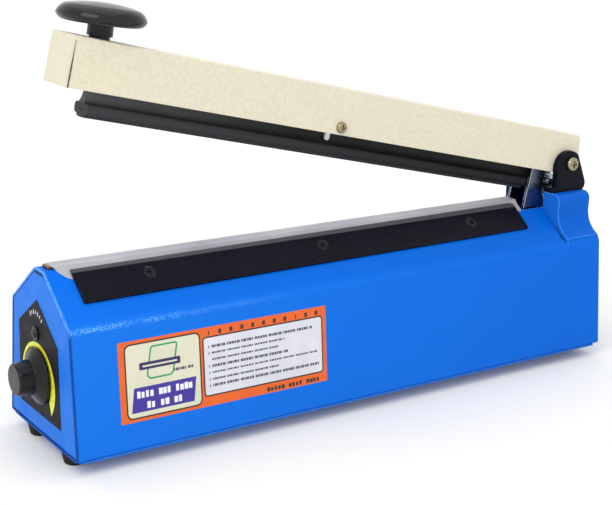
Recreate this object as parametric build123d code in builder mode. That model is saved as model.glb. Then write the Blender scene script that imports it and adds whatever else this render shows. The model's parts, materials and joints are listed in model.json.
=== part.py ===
"""Hand-operated impulse heat sealer with a 300 mm jaw, stored with its arm raised.

Row frame in millimetres: +X runs from the control end to the hinge end, -Y is the side with the
instruction label, +Z is up. The origin is on the table, under the middle of the bounding box.
"""

import os

from build123d import *

# ---------------------------------------------------------------- driving dimensions
body_left = -197.0
body_right = 203.0
body_length = body_right - body_left
sheet = 1.2
seam = 0.25

foot_height = 8.0
base_top = foot_height + sheet
bottom_half = 46.8
shoulder_half = 39.6
shoulder_z = 82.7
roof_half = 5.85
roof_z = 108.5

tower_left = body_left + 371.0
tower_top = 115.2
tower_half = 27.1
slot_left = body_left + 351.0
slot_half = 11.5

pivot_x = body_left + 387.3
pivot_z = 134.55
arm_tilt = 12.8
pin_radius = 2.5
bush_radius = 3.4

arm_half = 14.5
arm_top = 20.3
arm_bottom = -8.1
arm_reach = 382.8
arm_tail = 8.0
arm_rake = 6.4
jaw_reach = 364.5
jaw_heel = 28.0
neck_half = 2.5
rubber_bottom = -23.75
leg_near = -12.0
leg_far = -25.0
leg_tip = -61.7
leg_inner = 7.0
leg_outer = 9.0
handle_x = -361.3
handle_lean = 5.0

knob_y = 2.0
knob_z = 45.2
lamp_y = 5.4
lamp_z = 69.5

bed_top = 110.1
tape_top = 110.25
element_top = 110.4
cloth_top = 110.6

gland_z = 30.0
lever_pivot_x = body_left + 378.2
lever_pivot_z = 62.0
switch_y = 8.0
anchor_x = body_left + 296.0

slope = Plane(
    origin=(0, -shoulder_half, shoulder_z),
    x_dir=(1, 0, 0),
    z_dir=(0, shoulder_z - roof_z, shoulder_half - roof_half),
)
rear_slope = Plane(
    origin=(0, shoulder_half, shoulder_z),
    x_dir=(-1, 0, 0),
    z_dir=(0, roof_z - shoulder_z, shoulder_half - roof_half),
)
wall = Plane(
    origin=(0, -bottom_half, base_top),
    x_dir=(1, 0, 0),
    z_dir=(0, base_top - shoulder_z, bottom_half - shoulder_half),
)
raised = Location((pivot_x, 0, pivot_z), (0, arm_tilt, 0))

os.makedirs("parts", exist_ok=True)


def save(piece, name):
    """Label one node and write it as its own STEP file."""
    piece.label = name
    export_step(piece, f"parts/{name}.step")


def body_section(inset):
    """Cross-section of the housing: tapered walls, two slopes and a narrow flat roof."""
    with BuildSketch() as section:
        with BuildLine():
            Polyline(
                (-bottom_half, base_top),
                (-shoulder_half, shoulder_z),
                (-roof_half, roof_z),
                (roof_half, roof_z),
                (shoulder_half, shoulder_z),
                (bottom_half, base_top),
                close=True,
            )
        make_face()
        if inset:
            offset(amount=-inset, kind=Kind.INTERSECTION)
    return section.sketch


def hinge_section(inset):
    """Cross-section at the hinge end, where the walls rise into a waisted tower."""
    with BuildSketch() as section:
        with BuildLine():
            Polyline((0, base_top), (bottom_half, base_top), (shoulder_half, shoulder_z), (37.5, 87.0))
            ThreePointArc((37.5, 87.0), (29.7, 93.6), (26.8, 103.0))
            Line((26.8, 103.0), (tower_half, tower_top - 3))
            ThreePointArc(
                (tower_half, tower_top - 3),
                (tower_half - 0.9, tower_top - 0.9),
                (tower_half - 3, tower_top),
            )
            Line((tower_half - 3, tower_top), (0, tower_top))
            mirror(about=Plane.YZ)
        make_face()
        if inset:
            offset(amount=-inset, kind=Kind.INTERSECTION)
    return section.sketch


def pan_screw(head_radius, head_height, shank_radius, shank_length):
    """Cross-recess pan-head screw along +Z, seated at the origin with its shank below."""
    with BuildPart() as screw:
        Cylinder(head_radius, head_height, align=(Align.CENTER, Align.CENTER, Align.MIN))
        fillet(screw.edges().sort_by(Axis.Z)[-1], head_height * 0.6)
        with BuildSketch(Plane.XY.offset(head_height)):
            Rectangle(head_radius * 1.1, head_radius * 0.26)
            Rectangle(head_radius * 0.26, head_radius * 1.1)
        extrude(amount=-head_height * 0.55, mode=Mode.SUBTRACT)
        Cylinder(shank_radius, shank_length, align=(Align.CENTER, Align.CENTER, Align.MAX))
    return screw.part


def flush_screw(head_radius, shank_radius, shank_length):
    """Countersunk cross-recess screw along +Z with its flat face at the origin."""
    depth = head_radius - shank_radius
    with BuildPart() as screw:
        Cone(shank_radius, head_radius, depth, align=(Align.CENTER, Align.CENTER, Align.MAX))
        Cylinder(shank_radius, shank_length, align=(Align.CENTER, Align.CENTER, Align.MAX))
        with BuildSketch():
            Rectangle(head_radius * 1.0, head_radius * 0.26)
            Rectangle(head_radius * 0.26, head_radius * 1.0)
        extrude(amount=-depth * 0.7, mode=Mode.SUBTRACT)
    return screw.part


def hex_nut(across, height, bore_radius):
    """Hexagon nut standing on the origin along +Z."""
    with BuildPart() as nut:
        with BuildSketch():
            RegularPolygon(across / 2, 6, major_radius=False)
            Circle(bore_radius, mode=Mode.SUBTRACT)
        extrude(amount=height)
    return nut.part


# ---------------------------------------------------------------- housing
strip_left = body_left + 15.4
strip_right = body_left + 346.5
clamp_x = [body_left + 61.0, body_left + 181.0, body_left + 301.5]
clamp_t = 30.5
foot_x = [body_left + 8.5, body_right - 8.5]
foot_y = 24.0
flange_x = [body_left + 45.0, body_left + 200.0, body_left + 355.0]
flange_y = 40.0
stud_x = [body_left + 8.0, body_left + 347.0]
bracket_bolts = [(body_left + 385.0, 0.0), (body_left + 393.0, -9.8), (body_left + 393.0, 9.8)]

with BuildPart() as housing_shell:
    with BuildSketch(Plane.YZ.offset(body_left)):
        add(body_section(0))
    extrude(amount=body_length)
    with BuildSketch(Plane.YZ.offset(tower_left)):
        add(hinge_section(0))
    extrude(amount=body_right - tower_left)
    with BuildSketch(Plane.YZ.offset(body_left)):
        add(body_section(sheet))
    extrude(amount=body_length, mode=Mode.SUBTRACT)
    with BuildSketch(Plane.YZ.offset(tower_left + sheet)):
        add(hinge_section(sheet))
    extrude(amount=body_right - tower_left, mode=Mode.SUBTRACT)
    # open bottom between the two in-turned flanges
    with Locations((body_left + body_length / 2, 0, base_top)):
        Box(body_length, 2 * 34.5, 8, mode=Mode.SUBTRACT)
    # slot for the lever legs, through the roof and into the tower
    with Locations((slot_left, 0, 92)):
        Box(
            tower_left + 8 - slot_left,
            2 * slot_half,
            24,
            align=(Align.MIN, Align.CENTER, Align.MIN),
            mode=Mode.SUBTRACT,
        )
    for face in (slope, rear_slope):
        with BuildSketch(face.offset(1)):
            with Locations(*[(x * face.x_dir.X, clamp_t) for x in clamp_x]):
                Circle(2.2)
        extrude(amount=-4, mode=Mode.SUBTRACT)
    with Locations(*[(x, 0, roof_z) for x in stud_x]):
        Cylinder(3.0, 6, mode=Mode.SUBTRACT)
    with Locations(*[(x, y, tower_top) for x, y in bracket_bolts]):
        Cylinder(2.7, 6, mode=Mode.SUBTRACT)
    with Locations(*[(x, y, base_top) for x in flange_x for y in (-flange_y, flange_y)]):
        Cylinder(1.7, 6, mode=Mode.SUBTRACT)
save(housing_shell.part, "housing_shell")

core_x = body_left + 190.0
chassis_spots = [(core_x + x, y) for x in (-41, 41) for y in (-9, 9)]
chassis_spots += [(anchor_x + 15.0, 0.0), (lever_pivot_x + 10.4, 5.2)]

with BuildPart() as base_plate:
    with BuildSketch(Plane.XY.offset(foot_height)):
        with Locations((body_left + body_length / 2, 0)):
            Rectangle(body_length - 1.0, 92.4)
    extrude(amount=sheet)
    chamfer(base_plate.edges().filter_by(Axis.Z), 4)
    with Locations(*[(x, y, foot_height) for x in foot_x for y in (-foot_y, foot_y)]):
        Cylinder(2.15, 6, mode=Mode.SUBTRACT)
    with Locations(*[(x, y, foot_height) for x in flange_x for y in (-flange_y, flange_y)]):
        Cylinder(1.9, 6, mode=Mode.SUBTRACT)
    with Locations(*[(x, y, foot_height) for x, y in chassis_spots]):
        Cylinder(2.05, 6, mode=Mode.SUBTRACT)
    with BuildSketch(Plane.XY.offset(foot_height)):
        for row_x in (body_left + 128.0, body_left + 262.0):
            with Locations((row_x, 0)):
                with GridLocations(8, 0, 5, 1):
                    SlotOverall(40, 3.2, rotation=90)
    extrude(amount=sheet, mode=Mode.SUBTRACT)
save(base_plate.part, "base_plate")


# ---------------------------------------------------------------- end plates, feet and gland
with BuildPart() as control_end_plate:
    with BuildSketch(Plane.YZ.offset(body_left)):
        add(body_section(sheet + seam))
    extrude(amount=12)
    fillet(control_end_plate.faces().sort_by(Axis.X)[0].edges(), 1.0)
    with BuildSketch(Plane.YZ.offset(body_left + sheet)):
        add(body_section(2 * sheet + seam))
    extrude(amount=12, mode=Mode.SUBTRACT)
    with Locations((body_left + sheet, 0, 92)):
        Box(20, 40, 20, align=(Align.MIN, Align.CENTER, Align.MIN), mode=Mode.SUBTRACT)
    with BuildSketch(Plane.YZ.offset(body_left - 1)):
        with Locations((knob_y, knob_z)):
            Circle(3.6)
        with Locations((lamp_y, lamp_z)):
            Circle(3.1)
    extrude(amount=4, mode=Mode.SUBTRACT)
    with Locations(*[(foot_x[0], y, base_top) for y in (-foot_y, foot_y)]):
        Cylinder(2.15, 8, mode=Mode.SUBTRACT)
save(control_end_plate.part, "control_end_plate")

with BuildPart() as hinge_end_plate:
    with BuildSketch(Plane.YZ.offset(body_right)):
        add(hinge_section(sheet + seam))
    extrude(amount=-12)
    with BuildSketch(Plane.YZ.offset(body_right - sheet)):
        add(hinge_section(2 * sheet + seam))
    extrude(amount=-12, mode=Mode.SUBTRACT)
    with BuildSketch(Plane.YZ.offset(body_right - 20)):
        with Locations((0, tower_top)):
            Rectangle(60, 16)
        with Locations((0, base_top)):
            Rectangle(37, 8)
    extrude(amount=20 - sheet, mode=Mode.SUBTRACT)
    with Locations((body_right, 0, gland_z)):
        Cylinder(6.1, 8, rotation=(0, 90, 0), mode=Mode.SUBTRACT)
    with Locations(*[(foot_x[1], y, base_top) for y in (-foot_y, foot_y)]):
        Cylinder(2.15, 8, mode=Mode.SUBTRACT)
save(hinge_end_plate.part, "hinge_end_plate")

feet = [(x, y) for x in foot_x for y in (-foot_y, foot_y)]
with BuildPart() as rubber_feet:
    with BuildSketch(Plane.XZ):
        with BuildLine():
            Polyline(
                (2.1, foot_height),
                (7.4, foot_height),
                (7.4, foot_height - 1.2),
                (6.1, 0.6),
                (5.5, 0),
                (4.6, 0),
                (4.6, 4.2),
                (2.1, 4.2),
                close=True,
            )
        make_face()
    foot = revolve(axis=Axis.Z, mode=Mode.PRIVATE)
    with Locations(*feet):
        add(foot)
save(rubber_feet.part, "rubber_feet")

foot_screw = pan_screw(3.9, 2.4, 2.0, 10.5)
with BuildPart() as foot_screws:
    with Locations(*[Location((x, y, 4.2), (180, 0, 0)) for x, y in feet]):
        add(foot_screw)
save(foot_screws.part, "foot_screws")

flange_screw = pan_screw(3.2, 2.0, 1.6, 7.0)
with BuildPart() as base_screws:
    with Locations(
        *[Location((x, y, foot_height), (180, 0, 0)) for x in flange_x for y in (-flange_y, flange_y)]
    ):
        add(flange_screw)
save(base_screws.part, "base_screws")

gland_axis = Plane(origin=(body_right, 0, gland_z), x_dir=(0, 1, 0), z_dir=(1, 0, 0))
with BuildPart() as cord_gland:
    with BuildSketch(gland_axis):
        Circle(10)
    extrude(amount=3)
    fillet(cord_gland.edges().sort_by(Axis.X)[-1], 1)
    with BuildSketch(gland_axis.offset(3)):
        Circle(7)
    extrude(amount=6.8, taper=12)
    with BuildSketch(gland_axis):
        Circle(6)
    extrude(amount=-10)
    with BuildSketch(gland_axis.offset(-10)):
        Circle(3.6)
    extrude(amount=20, mode=Mode.SUBTRACT)
save(cord_gland.part, "cord_gland")

with BuildPart() as gland_nut:
    with BuildSketch(gland_axis.offset(-sheet)):
        RegularPolygon(9, 6, major_radius=False)
        Circle(6.05, mode=Mode.SUBTRACT)
    extrude(amount=-4)
save(gland_nut.part, "gland_nut")

# ---------------------------------------------------------------- sealing bed, cloth and clamps
bed_left = body_left + 13.0
bed_right = body_left + 342.0

with BuildPart() as sealing_bed:
    with Locations(((bed_left + bed_right) / 2, 0, roof_z)):
        Box(bed_right - bed_left, 10.4, bed_top - roof_z, align=(Align.CENTER, Align.CENTER, Align.MIN))
save(sealing_bed.part, "sealing_bed")

with BuildPart() as bed_tape:
    with Locations(((bed_left + bed_right) / 2, 0, bed_top)):
        Box(bed_right - bed_left, 9.6, tape_top - bed_top, align=(Align.CENTER, Align.CENTER, Align.MIN))
save(bed_tape.part, "bed_tape")

with BuildPart() as heating_element:
    with BuildSketch(Plane.XY.offset(tape_top)):
        with Locations(((stud_x[0] + stud_x[1]) / 2, 0)):
            Rectangle(stud_x[1] - stud_x[0] + 6, 2.6)
        with Locations(*[(x, 0) for x in stud_x]):
            Rectangle(7, 6)
    extrude(amount=element_top - tape_top)
save(heating_element.part, "heating_element")

with BuildPart() as element_terminals:
    with Locations(*[(x, 0, roof_z) for x in stud_x]):
        Box(8, 7.6, tape_top - roof_z, align=(Align.CENTER, Align.CENTER, Align.MIN))
        Cylinder(1.5, 14, align=(Align.CENTER, Align.CENTER, Align.MAX))
save(element_terminals.part, "element_terminals")

with BuildPart() as terminal_bushes:
    with BuildSketch(Plane.XZ):
        with BuildLine():
            Polyline(
                (1.55, roof_z),
                (2.95, roof_z),
                (2.95, roof_z - sheet),
                (4.2, roof_z - sheet),
                (4.2, roof_z - sheet - 2),
                (1.55, roof_z - sheet - 2),
                close=True,
            )
        make_face()
    terminal_bush = revolve(axis=Axis.Z, mode=Mode.PRIVATE)
    with Locations(*[(x, 0, 0) for x in stud_x]):
        add(terminal_bush)
save(terminal_bushes.part, "terminal_bushes")

terminal_nut = hex_nut(5.5, 2.4, 1.55)
with BuildPart() as terminal_nuts:
    with Locations(*[(x, 0, roof_z - sheet - 4.4) for x in stud_x]):
        add(terminal_nut)
save(terminal_nuts.part, "terminal_nuts")

cloth_left = body_left + 6.0
cloth_right = body_left + 350.5
cloth_tail = slope.from_local_coords((0, 34.5, 0))
cloth_lift = slope.from_local_coords((0, 34.5, 0.25))
cloth_knee = slope.from_local_coords((0, 41.8, 0.25))
with BuildPart() as release_cloth:
    with BuildSketch(Plane.YZ.offset(cloth_left)):
        with BuildLine():
            Polyline(
                (0, element_top),
                (-4.9, element_top),
                (-5.35, bed_top),
                (-6.2, roof_z + 0.05),
                (cloth_tail.Y - 0.03, cloth_tail.Z + 0.04),
                (cloth_lift.Y, cloth_lift.Z),
                (cloth_knee.Y, cloth_knee.Z),
                (-5.75, bed_top + 0.1),
                (-5.1, cloth_top),
                (0, cloth_top),
            )
            mirror(about=Plane.YZ)
        make_face()
    extrude(amount=cloth_right - cloth_left)
save(release_cloth.part, "release_cloth")

strip_low = 18.5
strip_high = 41.3


def clamp_spots(face):
    """Screw seats on top of a clamp strip, three along its length."""
    return [face.offset(1.8).location * Location((x * face.x_dir.X, clamp_t, 0)) for x in clamp_x]


for face, name in ((slope, "clamp_strip_front"), (rear_slope, "clamp_strip_rear")):
    with BuildPart() as clamp_strip:
        with BuildSketch(face.offset(0.3)):
            with Locations(((strip_left + strip_right) / 2 * face.x_dir.X, (strip_low + strip_high) / 2)):
                Rectangle(strip_right - strip_left, strip_high - strip_low)
        extrude(amount=1.5)
        fillet(clamp_strip.edges().filter_by(Axis.X).sort_by(Axis.Z)[-1], 1.2)
        with Locations(*clamp_spots(face)):
            Cone(2.05, 3.95, 1.9, align=(Align.CENTER, Align.CENTER, Align.MAX), mode=Mode.SUBTRACT)
    save(clamp_strip.part, name)

clamp_screw = flush_screw(3.9, 2.0, 9.0)
with BuildPart() as clamp_screws:
    with Locations(*clamp_spots(slope), *clamp_spots(rear_slope)):
        add(clamp_screw)
save(clamp_screws.part, "clamp_screws")

# ---------------------------------------------------------------- labels and control panel
with BuildPart() as instruction_label:
    with BuildSketch(wall):
        with Locations((body_left + (27.9 + 167.1) / 2, (16.4 + 63.5) / 2)):
            Rectangle(167.1 - 27.9, 63.5 - 16.4)
    extrude(amount=0.2)
save(instruction_label.part, "instruction_label")

with BuildPart() as panel_label:
    with BuildSketch(Plane.YZ.offset(body_left)):
        with BuildLine():
            Polyline(
                (3.2, 90.2),
                (30.4, 70.8),
                (31.0, 21.0),
                (-26.0, 21.0),
                (-24.4, 69.0),
                close=True,
            )
        make_face()
        with Locations((knob_y, knob_z)):
            Circle(7.5, mode=Mode.SUBTRACT)
        with Locations((lamp_y, lamp_z)):
            Circle(3.1, mode=Mode.SUBTRACT)
    extrude(amount=-0.2)
save(panel_label.part, "panel_label")

lamp_axis = Plane(origin=(body_left, lamp_y, lamp_z), x_dir=(0, -1, 0), z_dir=(-1, 0, 0))
with BuildPart() as indicator_bezel:
    with BuildSketch(lamp_axis.offset(0.25)):
        Circle(4.0)
    extrude(amount=1.0)
    with BuildSketch(lamp_axis.offset(0.25)):
        Circle(3.05)
    extrude(amount=-7)
    with BuildSketch(lamp_axis.offset(-7)):
        Circle(2.6)
    extrude(amount=9, mode=Mode.SUBTRACT)
save(indicator_bezel.part, "indicator_bezel")

with BuildPart() as indicator_lamp:
    with BuildSketch(lamp_axis.offset(-6.5)):
        Circle(2.5)
    extrude(amount=9.2)
    fillet(indicator_lamp.edges().sort_by(Axis.X)[0], 2.2)
    with BuildSketch(lamp_axis.offset(-6.5)):
        with Locations((-1.27, 0), (1.27, 0)):
            Circle(0.3)
    extrude(amount=-12)
save(indicator_lamp.part, "indicator_lamp")

knob_axis = Plane(origin=(body_left, knob_y, knob_z), x_dir=(0, -1, 0), z_dir=(-1, 0, 0))
with BuildPart() as potentiometer:
    with BuildSketch(knob_axis.offset(-sheet)):
        Circle(8.2)
    extrude(amount=-7.5)
    with BuildSketch(knob_axis.offset(-sheet)):
        Circle(3.5)
    extrude(amount=sheet + 4.4)
    with BuildSketch(knob_axis.offset(-sheet - 5)):
        with Locations((0, 9)):
            Rectangle(13, 4)
    extrude(amount=1.2)
    with BuildSketch(knob_axis.offset(-sheet - 7)):
        Circle(3.05)
    extrude(amount=20, mode=Mode.SUBTRACT)
save(potentiometer.part, "potentiometer")

with BuildPart() as potentiometer_nut:
    with BuildSketch(knob_axis.offset(0.05)):
        RegularPolygon(5, 6, major_radius=False)
        Circle(3.55, mode=Mode.SUBTRACT)
    extrude(amount=2.2)
save(potentiometer_nut.part, "potentiometer_nut")

with BuildPart() as timer_shaft:
    with BuildSketch(knob_axis.offset(-sheet - 6.5)):
        Circle(3.0)
    extrude(amount=sheet + 6.5 + 14)
    chamfer(timer_shaft.edges().sort_by(Axis.X)[0], 0.5)
save(timer_shaft.part, "timer_shaft")

with BuildPart() as timer_knob:
    with BuildSketch(Plane.XZ):
        with BuildLine():
            Polyline(
                (3.02, 5.4),
                (8.0, 5.4),
                (8.0, 0.9),
                (16.6, 0.9),
                (16.6, 2.1),
                (15.8, 2.9),
                (10.4, 6.4),
                (9.4, 15.0),
                (8.6, 15.8),
                (0, 15.8),
                (0, 14.3),
                (3.02, 14.3),
                close=True,
            )
        make_face()
    revolve(axis=Axis.Z)
    with BuildSketch(Plane.XY.offset(7)):
        with PolarLocations(11.45, 16):
            Circle(1.35)
    extrude(amount=12, mode=Mode.SUBTRACT)
    with BuildSketch(Plane.YZ.offset(9.0)):
        with Locations((0, 10.6)):
            Rectangle(1.4, 8)
    extrude(amount=1.0)
save(timer_knob.part.moved(knob_axis.location * Location((0, 0, 0), (0, 0, 32))), "timer_knob")

# ---------------------------------------------------------------- hinge bracket and pivot
ear_inner = 15.0
ear_outer = 19.6
with BuildPart() as hinge_bracket:
    with Locations(((tower_left + body_right + 0.5) / 2, 0, tower_top)):
        Box(
            body_right + 0.5 - tower_left,
            2 * ear_outer,
            3.4,
            align=(Align.CENTER, Align.CENTER, Align.MIN),
        )
    with BuildSketch(Plane.XZ.offset(-ear_outer)):
        with BuildLine():
            Line((pivot_x - 12.7, tower_top), (pivot_x - 12.7, pivot_z - 2.0))
            ThreePointArc(
                (pivot_x - 12.7, pivot_z - 2.0),
                (pivot_x - 9.3, pivot_z + 5.7),
                (pivot_x - 1.9, pivot_z + 8.8),
            )
            ThreePointArc(
                (pivot_x - 1.9, pivot_z + 8.8),
                (pivot_x + 3.3, pivot_z + 8.2),
                (pivot_x + 7.1, pivot_z + 5.4),
            )
            Line((pivot_x + 7.1, pivot_z + 5.4), (pivot_x + 14.9, pivot_z - 13.0))
            ThreePointArc(
                (pivot_x + 14.9, pivot_z - 13.0),
                (pivot_x + 15.0, pivot_z - 16.5),
                (body_right + 0.5, tower_top),
            )
            Line((body_right + 0.5, tower_top), (pivot_x - 12.7, tower_top))
        make_face()
    extrude(amount=2 * ear_outer)
    with Locations((pivot_x, 0, tower_top + 3.4)):
        Box(
            60,
            2 * ear_inner,
            40,
            align=(Align.CENTER, Align.CENTER, Align.MIN),
            mode=Mode.SUBTRACT,
        )
    fillet(hinge_bracket.faces().filter_by(Axis.Y).sort_by(Axis.Y)[0].edges().sort_by(Axis.Z)[1:], 1.0)
    fillet(hinge_bracket.faces().filter_by(Axis.Y).sort_by(Axis.Y)[-1].edges().sort_by(Axis.Z)[1:], 1.0)
    # clearance notch in the foot for the swinging lever legs
    with Locations((tower_left - 1, 0, tower_top)):
        Box(9, 22, 8, align=(Align.MIN, Align.CENTER, Align.CENTER), mode=Mode.SUBTRACT)
    with Locations((pivot_x, 0, pivot_z)):
        Cylinder(pin_radius + 0.02, 60, rotation=(90, 0, 0), mode=Mode.SUBTRACT)
    with Locations(*[(x, y, tower_top) for x, y in bracket_bolts]):
        Cylinder(2.7, 10, mode=Mode.SUBTRACT)
save(hinge_bracket.part, "hinge_bracket")

bracket_bolt = pan_screw(4.8, 3.4, 2.5, 13.0)
with BuildPart() as bracket_screws:
    with Locations(*[(x, y, tower_top + 3.4) for x, y in bracket_bolts]):
        add(bracket_bolt)
save(bracket_screws.part, "bracket_screws")

bracket_nut = hex_nut(8.0, 4.0, 2.55)
with BuildPart() as bracket_nuts:
    with Locations(*[(x, y, tower_top - sheet - 4.0) for x, y in bracket_bolts]):
        add(bracket_nut)
save(bracket_nuts.part, "bracket_nuts")

pivot_front = Plane(origin=(pivot_x, -ear_outer, pivot_z), x_dir=(1, 0, 0), z_dir=(0, -1, 0))
pivot_rear = Plane(origin=(pivot_x, ear_outer, pivot_z), x_dir=(1, 0, 0), z_dir=(0, 1, 0))
save(pan_screw(4.9, 3.0, pin_radius, 45.0).moved(pivot_front.location), "pivot_bolt")
save(hex_nut(8.0, 4.2, pin_radius + 0.02).moved(pivot_rear.location), "pivot_nut")

# ---------------------------------------------------------------- arm, drawn closed about its pivot
with BuildPart() as arm_cover:
    with BuildSketch(Plane.XZ.offset(-arm_half)):
        with BuildLine():
            Polyline(
                (-arm_reach, arm_bottom),
                (-arm_reach, arm_top),
                (arm_tail, arm_top),
                (arm_tail + arm_rake, arm_bottom),
                close=True,
            )
        make_face()
        fillet(vertices().group_by(Axis.Y)[-1].sort_by(Axis.X)[-1], 3)
    extrude(amount=2 * arm_half)
    fillet(arm_cover.edges().filter_by(Axis.X).group_by(Axis.Z)[-1], 1.0)
    with Locations((-arm_reach + sheet, 0, arm_top - sheet)):
        Box(
            400,
            2 * (arm_half - sheet),
            60,
            align=(Align.MIN, Align.CENTER, Align.MAX),
            mode=Mode.SUBTRACT,
        )
    # open seams beside the folded end flap
    with Locations((-arm_reach + sheet, 0, arm_bottom - 1)):
        Box(0.45, 60, 26.5, align=(Align.MIN, Align.CENTER, Align.MIN), mode=Mode.SUBTRACT)
    with Locations((0, 0, 0)):
        Cylinder(bush_radius + 0.02, 60, rotation=(90, 0, 0), mode=Mode.SUBTRACT)
    with Locations((-198, 0, -3.4)):
        Cylinder(2.05, 60, rotation=(90, 0, 0), mode=Mode.SUBTRACT)
    with Locations((handle_x, 0, arm_top)):
        Cylinder(3.2, 6, mode=Mode.SUBTRACT)
save(arm_cover.part.moved(raised), "arm_cover")

with BuildPart() as lever_bracket:
    with BuildSketch(Plane.XZ.offset(-leg_outer)):
        with BuildLine():
            Polyline(
                (6.4, -5.7),
                (6.4, 10.3),
                (-58, 10.3),
                (-58, -5.7),
                (leg_far, -5.7),
                (leg_far, leg_tip),
                (leg_near, leg_tip),
                (leg_near, -5.7),
                close=True,
            )
        make_face()
        fillet(vertices().group_by(Axis.Y)[0], 4)
    extrude(amount=2 * leg_outer)
    with Locations((-26, 0, 8.3)):
        Box(100, 2 * leg_inner, 80, align=(Align.CENTER, Align.CENTER, Align.MAX), mode=Mode.SUBTRACT)
    Cylinder(bush_radius + 0.02, 60, rotation=(90, 0, 0), mode=Mode.SUBTRACT)
    with Locations((-18.5, 0, -55.7)):
        Cylinder(1.55, 60, rotation=(90, 0, 0), mode=Mode.SUBTRACT)
save(lever_bracket.part.moved(raised), "lever_bracket")

with BuildPart() as pivot_bush:
    Cylinder(bush_radius, 2 * arm_half + 0.4, rotation=(90, 0, 0))
    Cylinder(pin_radius + 0.05, 60, rotation=(90, 0, 0), mode=Mode.SUBTRACT)
save(pivot_bush.part.moved(raised), "pivot_bush")

with BuildPart() as jaw_holder:
    with BuildSketch(Plane.YZ.offset(-jaw_reach)):
        with BuildLine():
            Polyline((0, 4.3), (-neck_half, 4.3), (-neck_half, -12.4))
            ThreePointArc((-neck_half, -12.4), (-3.9, -14.9), (-7.6, -15.6))
            ThreePointArc((-7.6, -15.6), (-8.6, -18.3), (-7.0, -21.7))
            Polyline((-7.0, -21.7), (-5.1, -21.7), (-5.1, -19.1), (0, -19.1))
            mirror(about=Plane.YZ)
        make_face()
    extrude(amount=jaw_reach - 10)
    # the neck is cut back a little above the head at the handle end
    with BuildSketch(Plane.XZ.offset(-30)):
        with BuildLine():
            ThreePointArc((-jaw_reach + 1.8, 5), (-jaw_reach + 1.3, -6), (-jaw_reach, -13.4))
            Polyline(
                (-jaw_reach, -13.4),
                (-jaw_reach - 4, -13.4),
                (-jaw_reach - 4, 5),
                (-jaw_reach + 1.8, 5),
            )
        make_face()
    extrude(amount=60, mode=Mode.SUBTRACT)
    # the head stops short of the lever legs, the neck runs on between them
    with Locations((-jaw_heel, 0, -14.9)):
        Box(40, 30, 20, align=(Align.MIN, Align.CENTER, Align.MAX), mode=Mode.SUBTRACT)
    with Locations((-198, 0, -3.4)):
        Cylinder(2.05, 60, rotation=(90, 0, 0), mode=Mode.SUBTRACT)
    with BuildSketch(Plane.XZ.offset(-30)):
        with Locations((-202.5, -10.3)):
            SlotOverall(5.2, 3.0, rotation=90)
    extrude(amount=60, mode=Mode.SUBTRACT)
save(jaw_holder.part.moved(raised), "jaw_holder")

with BuildPart() as rubber_strip:
    with Locations(((-jaw_reach - jaw_heel) / 2, 0, rubber_bottom)):
        Box(
            jaw_reach - jaw_heel,
            10.0,
            4.5,
            align=(Align.CENTER, Align.CENTER, Align.MIN),
        )
    fillet(rubber_strip.edges().filter_by(Axis.X).group_by(Axis.Z)[0], 1.0)
save(rubber_strip.part.moved(raised), "rubber_strip")

with BuildPart() as jaw_spacers:
    with Locations((-198, -7.9, -3.4), (-198, 7.9, -3.4)):
        Cylinder(3.6, 10.7, rotation=(90, 0, 0))
    with Locations((-198, 0, -3.4)):
        Cylinder(2.05, 60, rotation=(90, 0, 0), mode=Mode.SUBTRACT)
save(jaw_spacers.part.moved(raised), "jaw_spacers")

jaw_front = Plane(origin=(-198, -arm_half, -3.4), x_dir=(1, 0, 0), z_dir=(0, -1, 0))
jaw_rear = Plane(origin=(-198, arm_half, -3.4), x_dir=(1, 0, 0), z_dir=(0, 1, 0))
jaw_screw = pan_screw(3.5, 2.2, 2.0, 32.0).moved(jaw_front.location)
save(jaw_screw.moved(raised), "jaw_screw")
save(hex_nut(7.0, 3.0, 2.02).moved(jaw_rear.location).moved(raised), "jaw_nut")

with BuildPart() as spring_pin:
    with Locations((-18.5, 0, -55.7)):
        Cylinder(1.5, 22, rotation=(90, 0, 0))
save(spring_pin.part.moved(raised), "spring_pin")

with BuildPart() as handle_turning:
    with BuildSketch(Plane.XZ):
        with BuildLine():
            Polyline((0, -1.0), (5.9, -1.0), (5.9, 1.6), (7.3, 1.6), (7.2, 7.8), (20.4, 8.2))
            ThreePointArc((20.4, 8.2), (24.0, 9.7), (25.2, 11.9))
            ThreePointArc((25.2, 11.9), (23.2, 15.5), (18.4, 18.0))
            TangentArc((0, 19.9), (18.4, 18.0), tangent=(1, 0))
            Line((0, 19.9), (0, -1.0))
        make_face()
    revolve(axis=Axis.Z)

with BuildPart() as handle_knob:
    add(handle_turning.part.moved(Location((0, 0, 0), (0, -handle_lean, 0))))
    # the foot is faced flat to the arm and bored square to it
    Box(60, 60, 20, align=(Align.CENTER, Align.CENTER, Align.MAX), mode=Mode.SUBTRACT)
    Cylinder(3.02, 12, align=(Align.CENTER, Align.CENTER, Align.MIN), mode=Mode.SUBTRACT)
save(handle_knob.part.moved(raised * Location((handle_x, 0, arm_top))), "handle_knob")

handle_seat = raised * Location((handle_x, 0, arm_top - sheet), (180, 0, 0))
save(pan_screw(5.4, 3.6, 3.0, 12.6).moved(handle_seat), "handle_screw")

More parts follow.
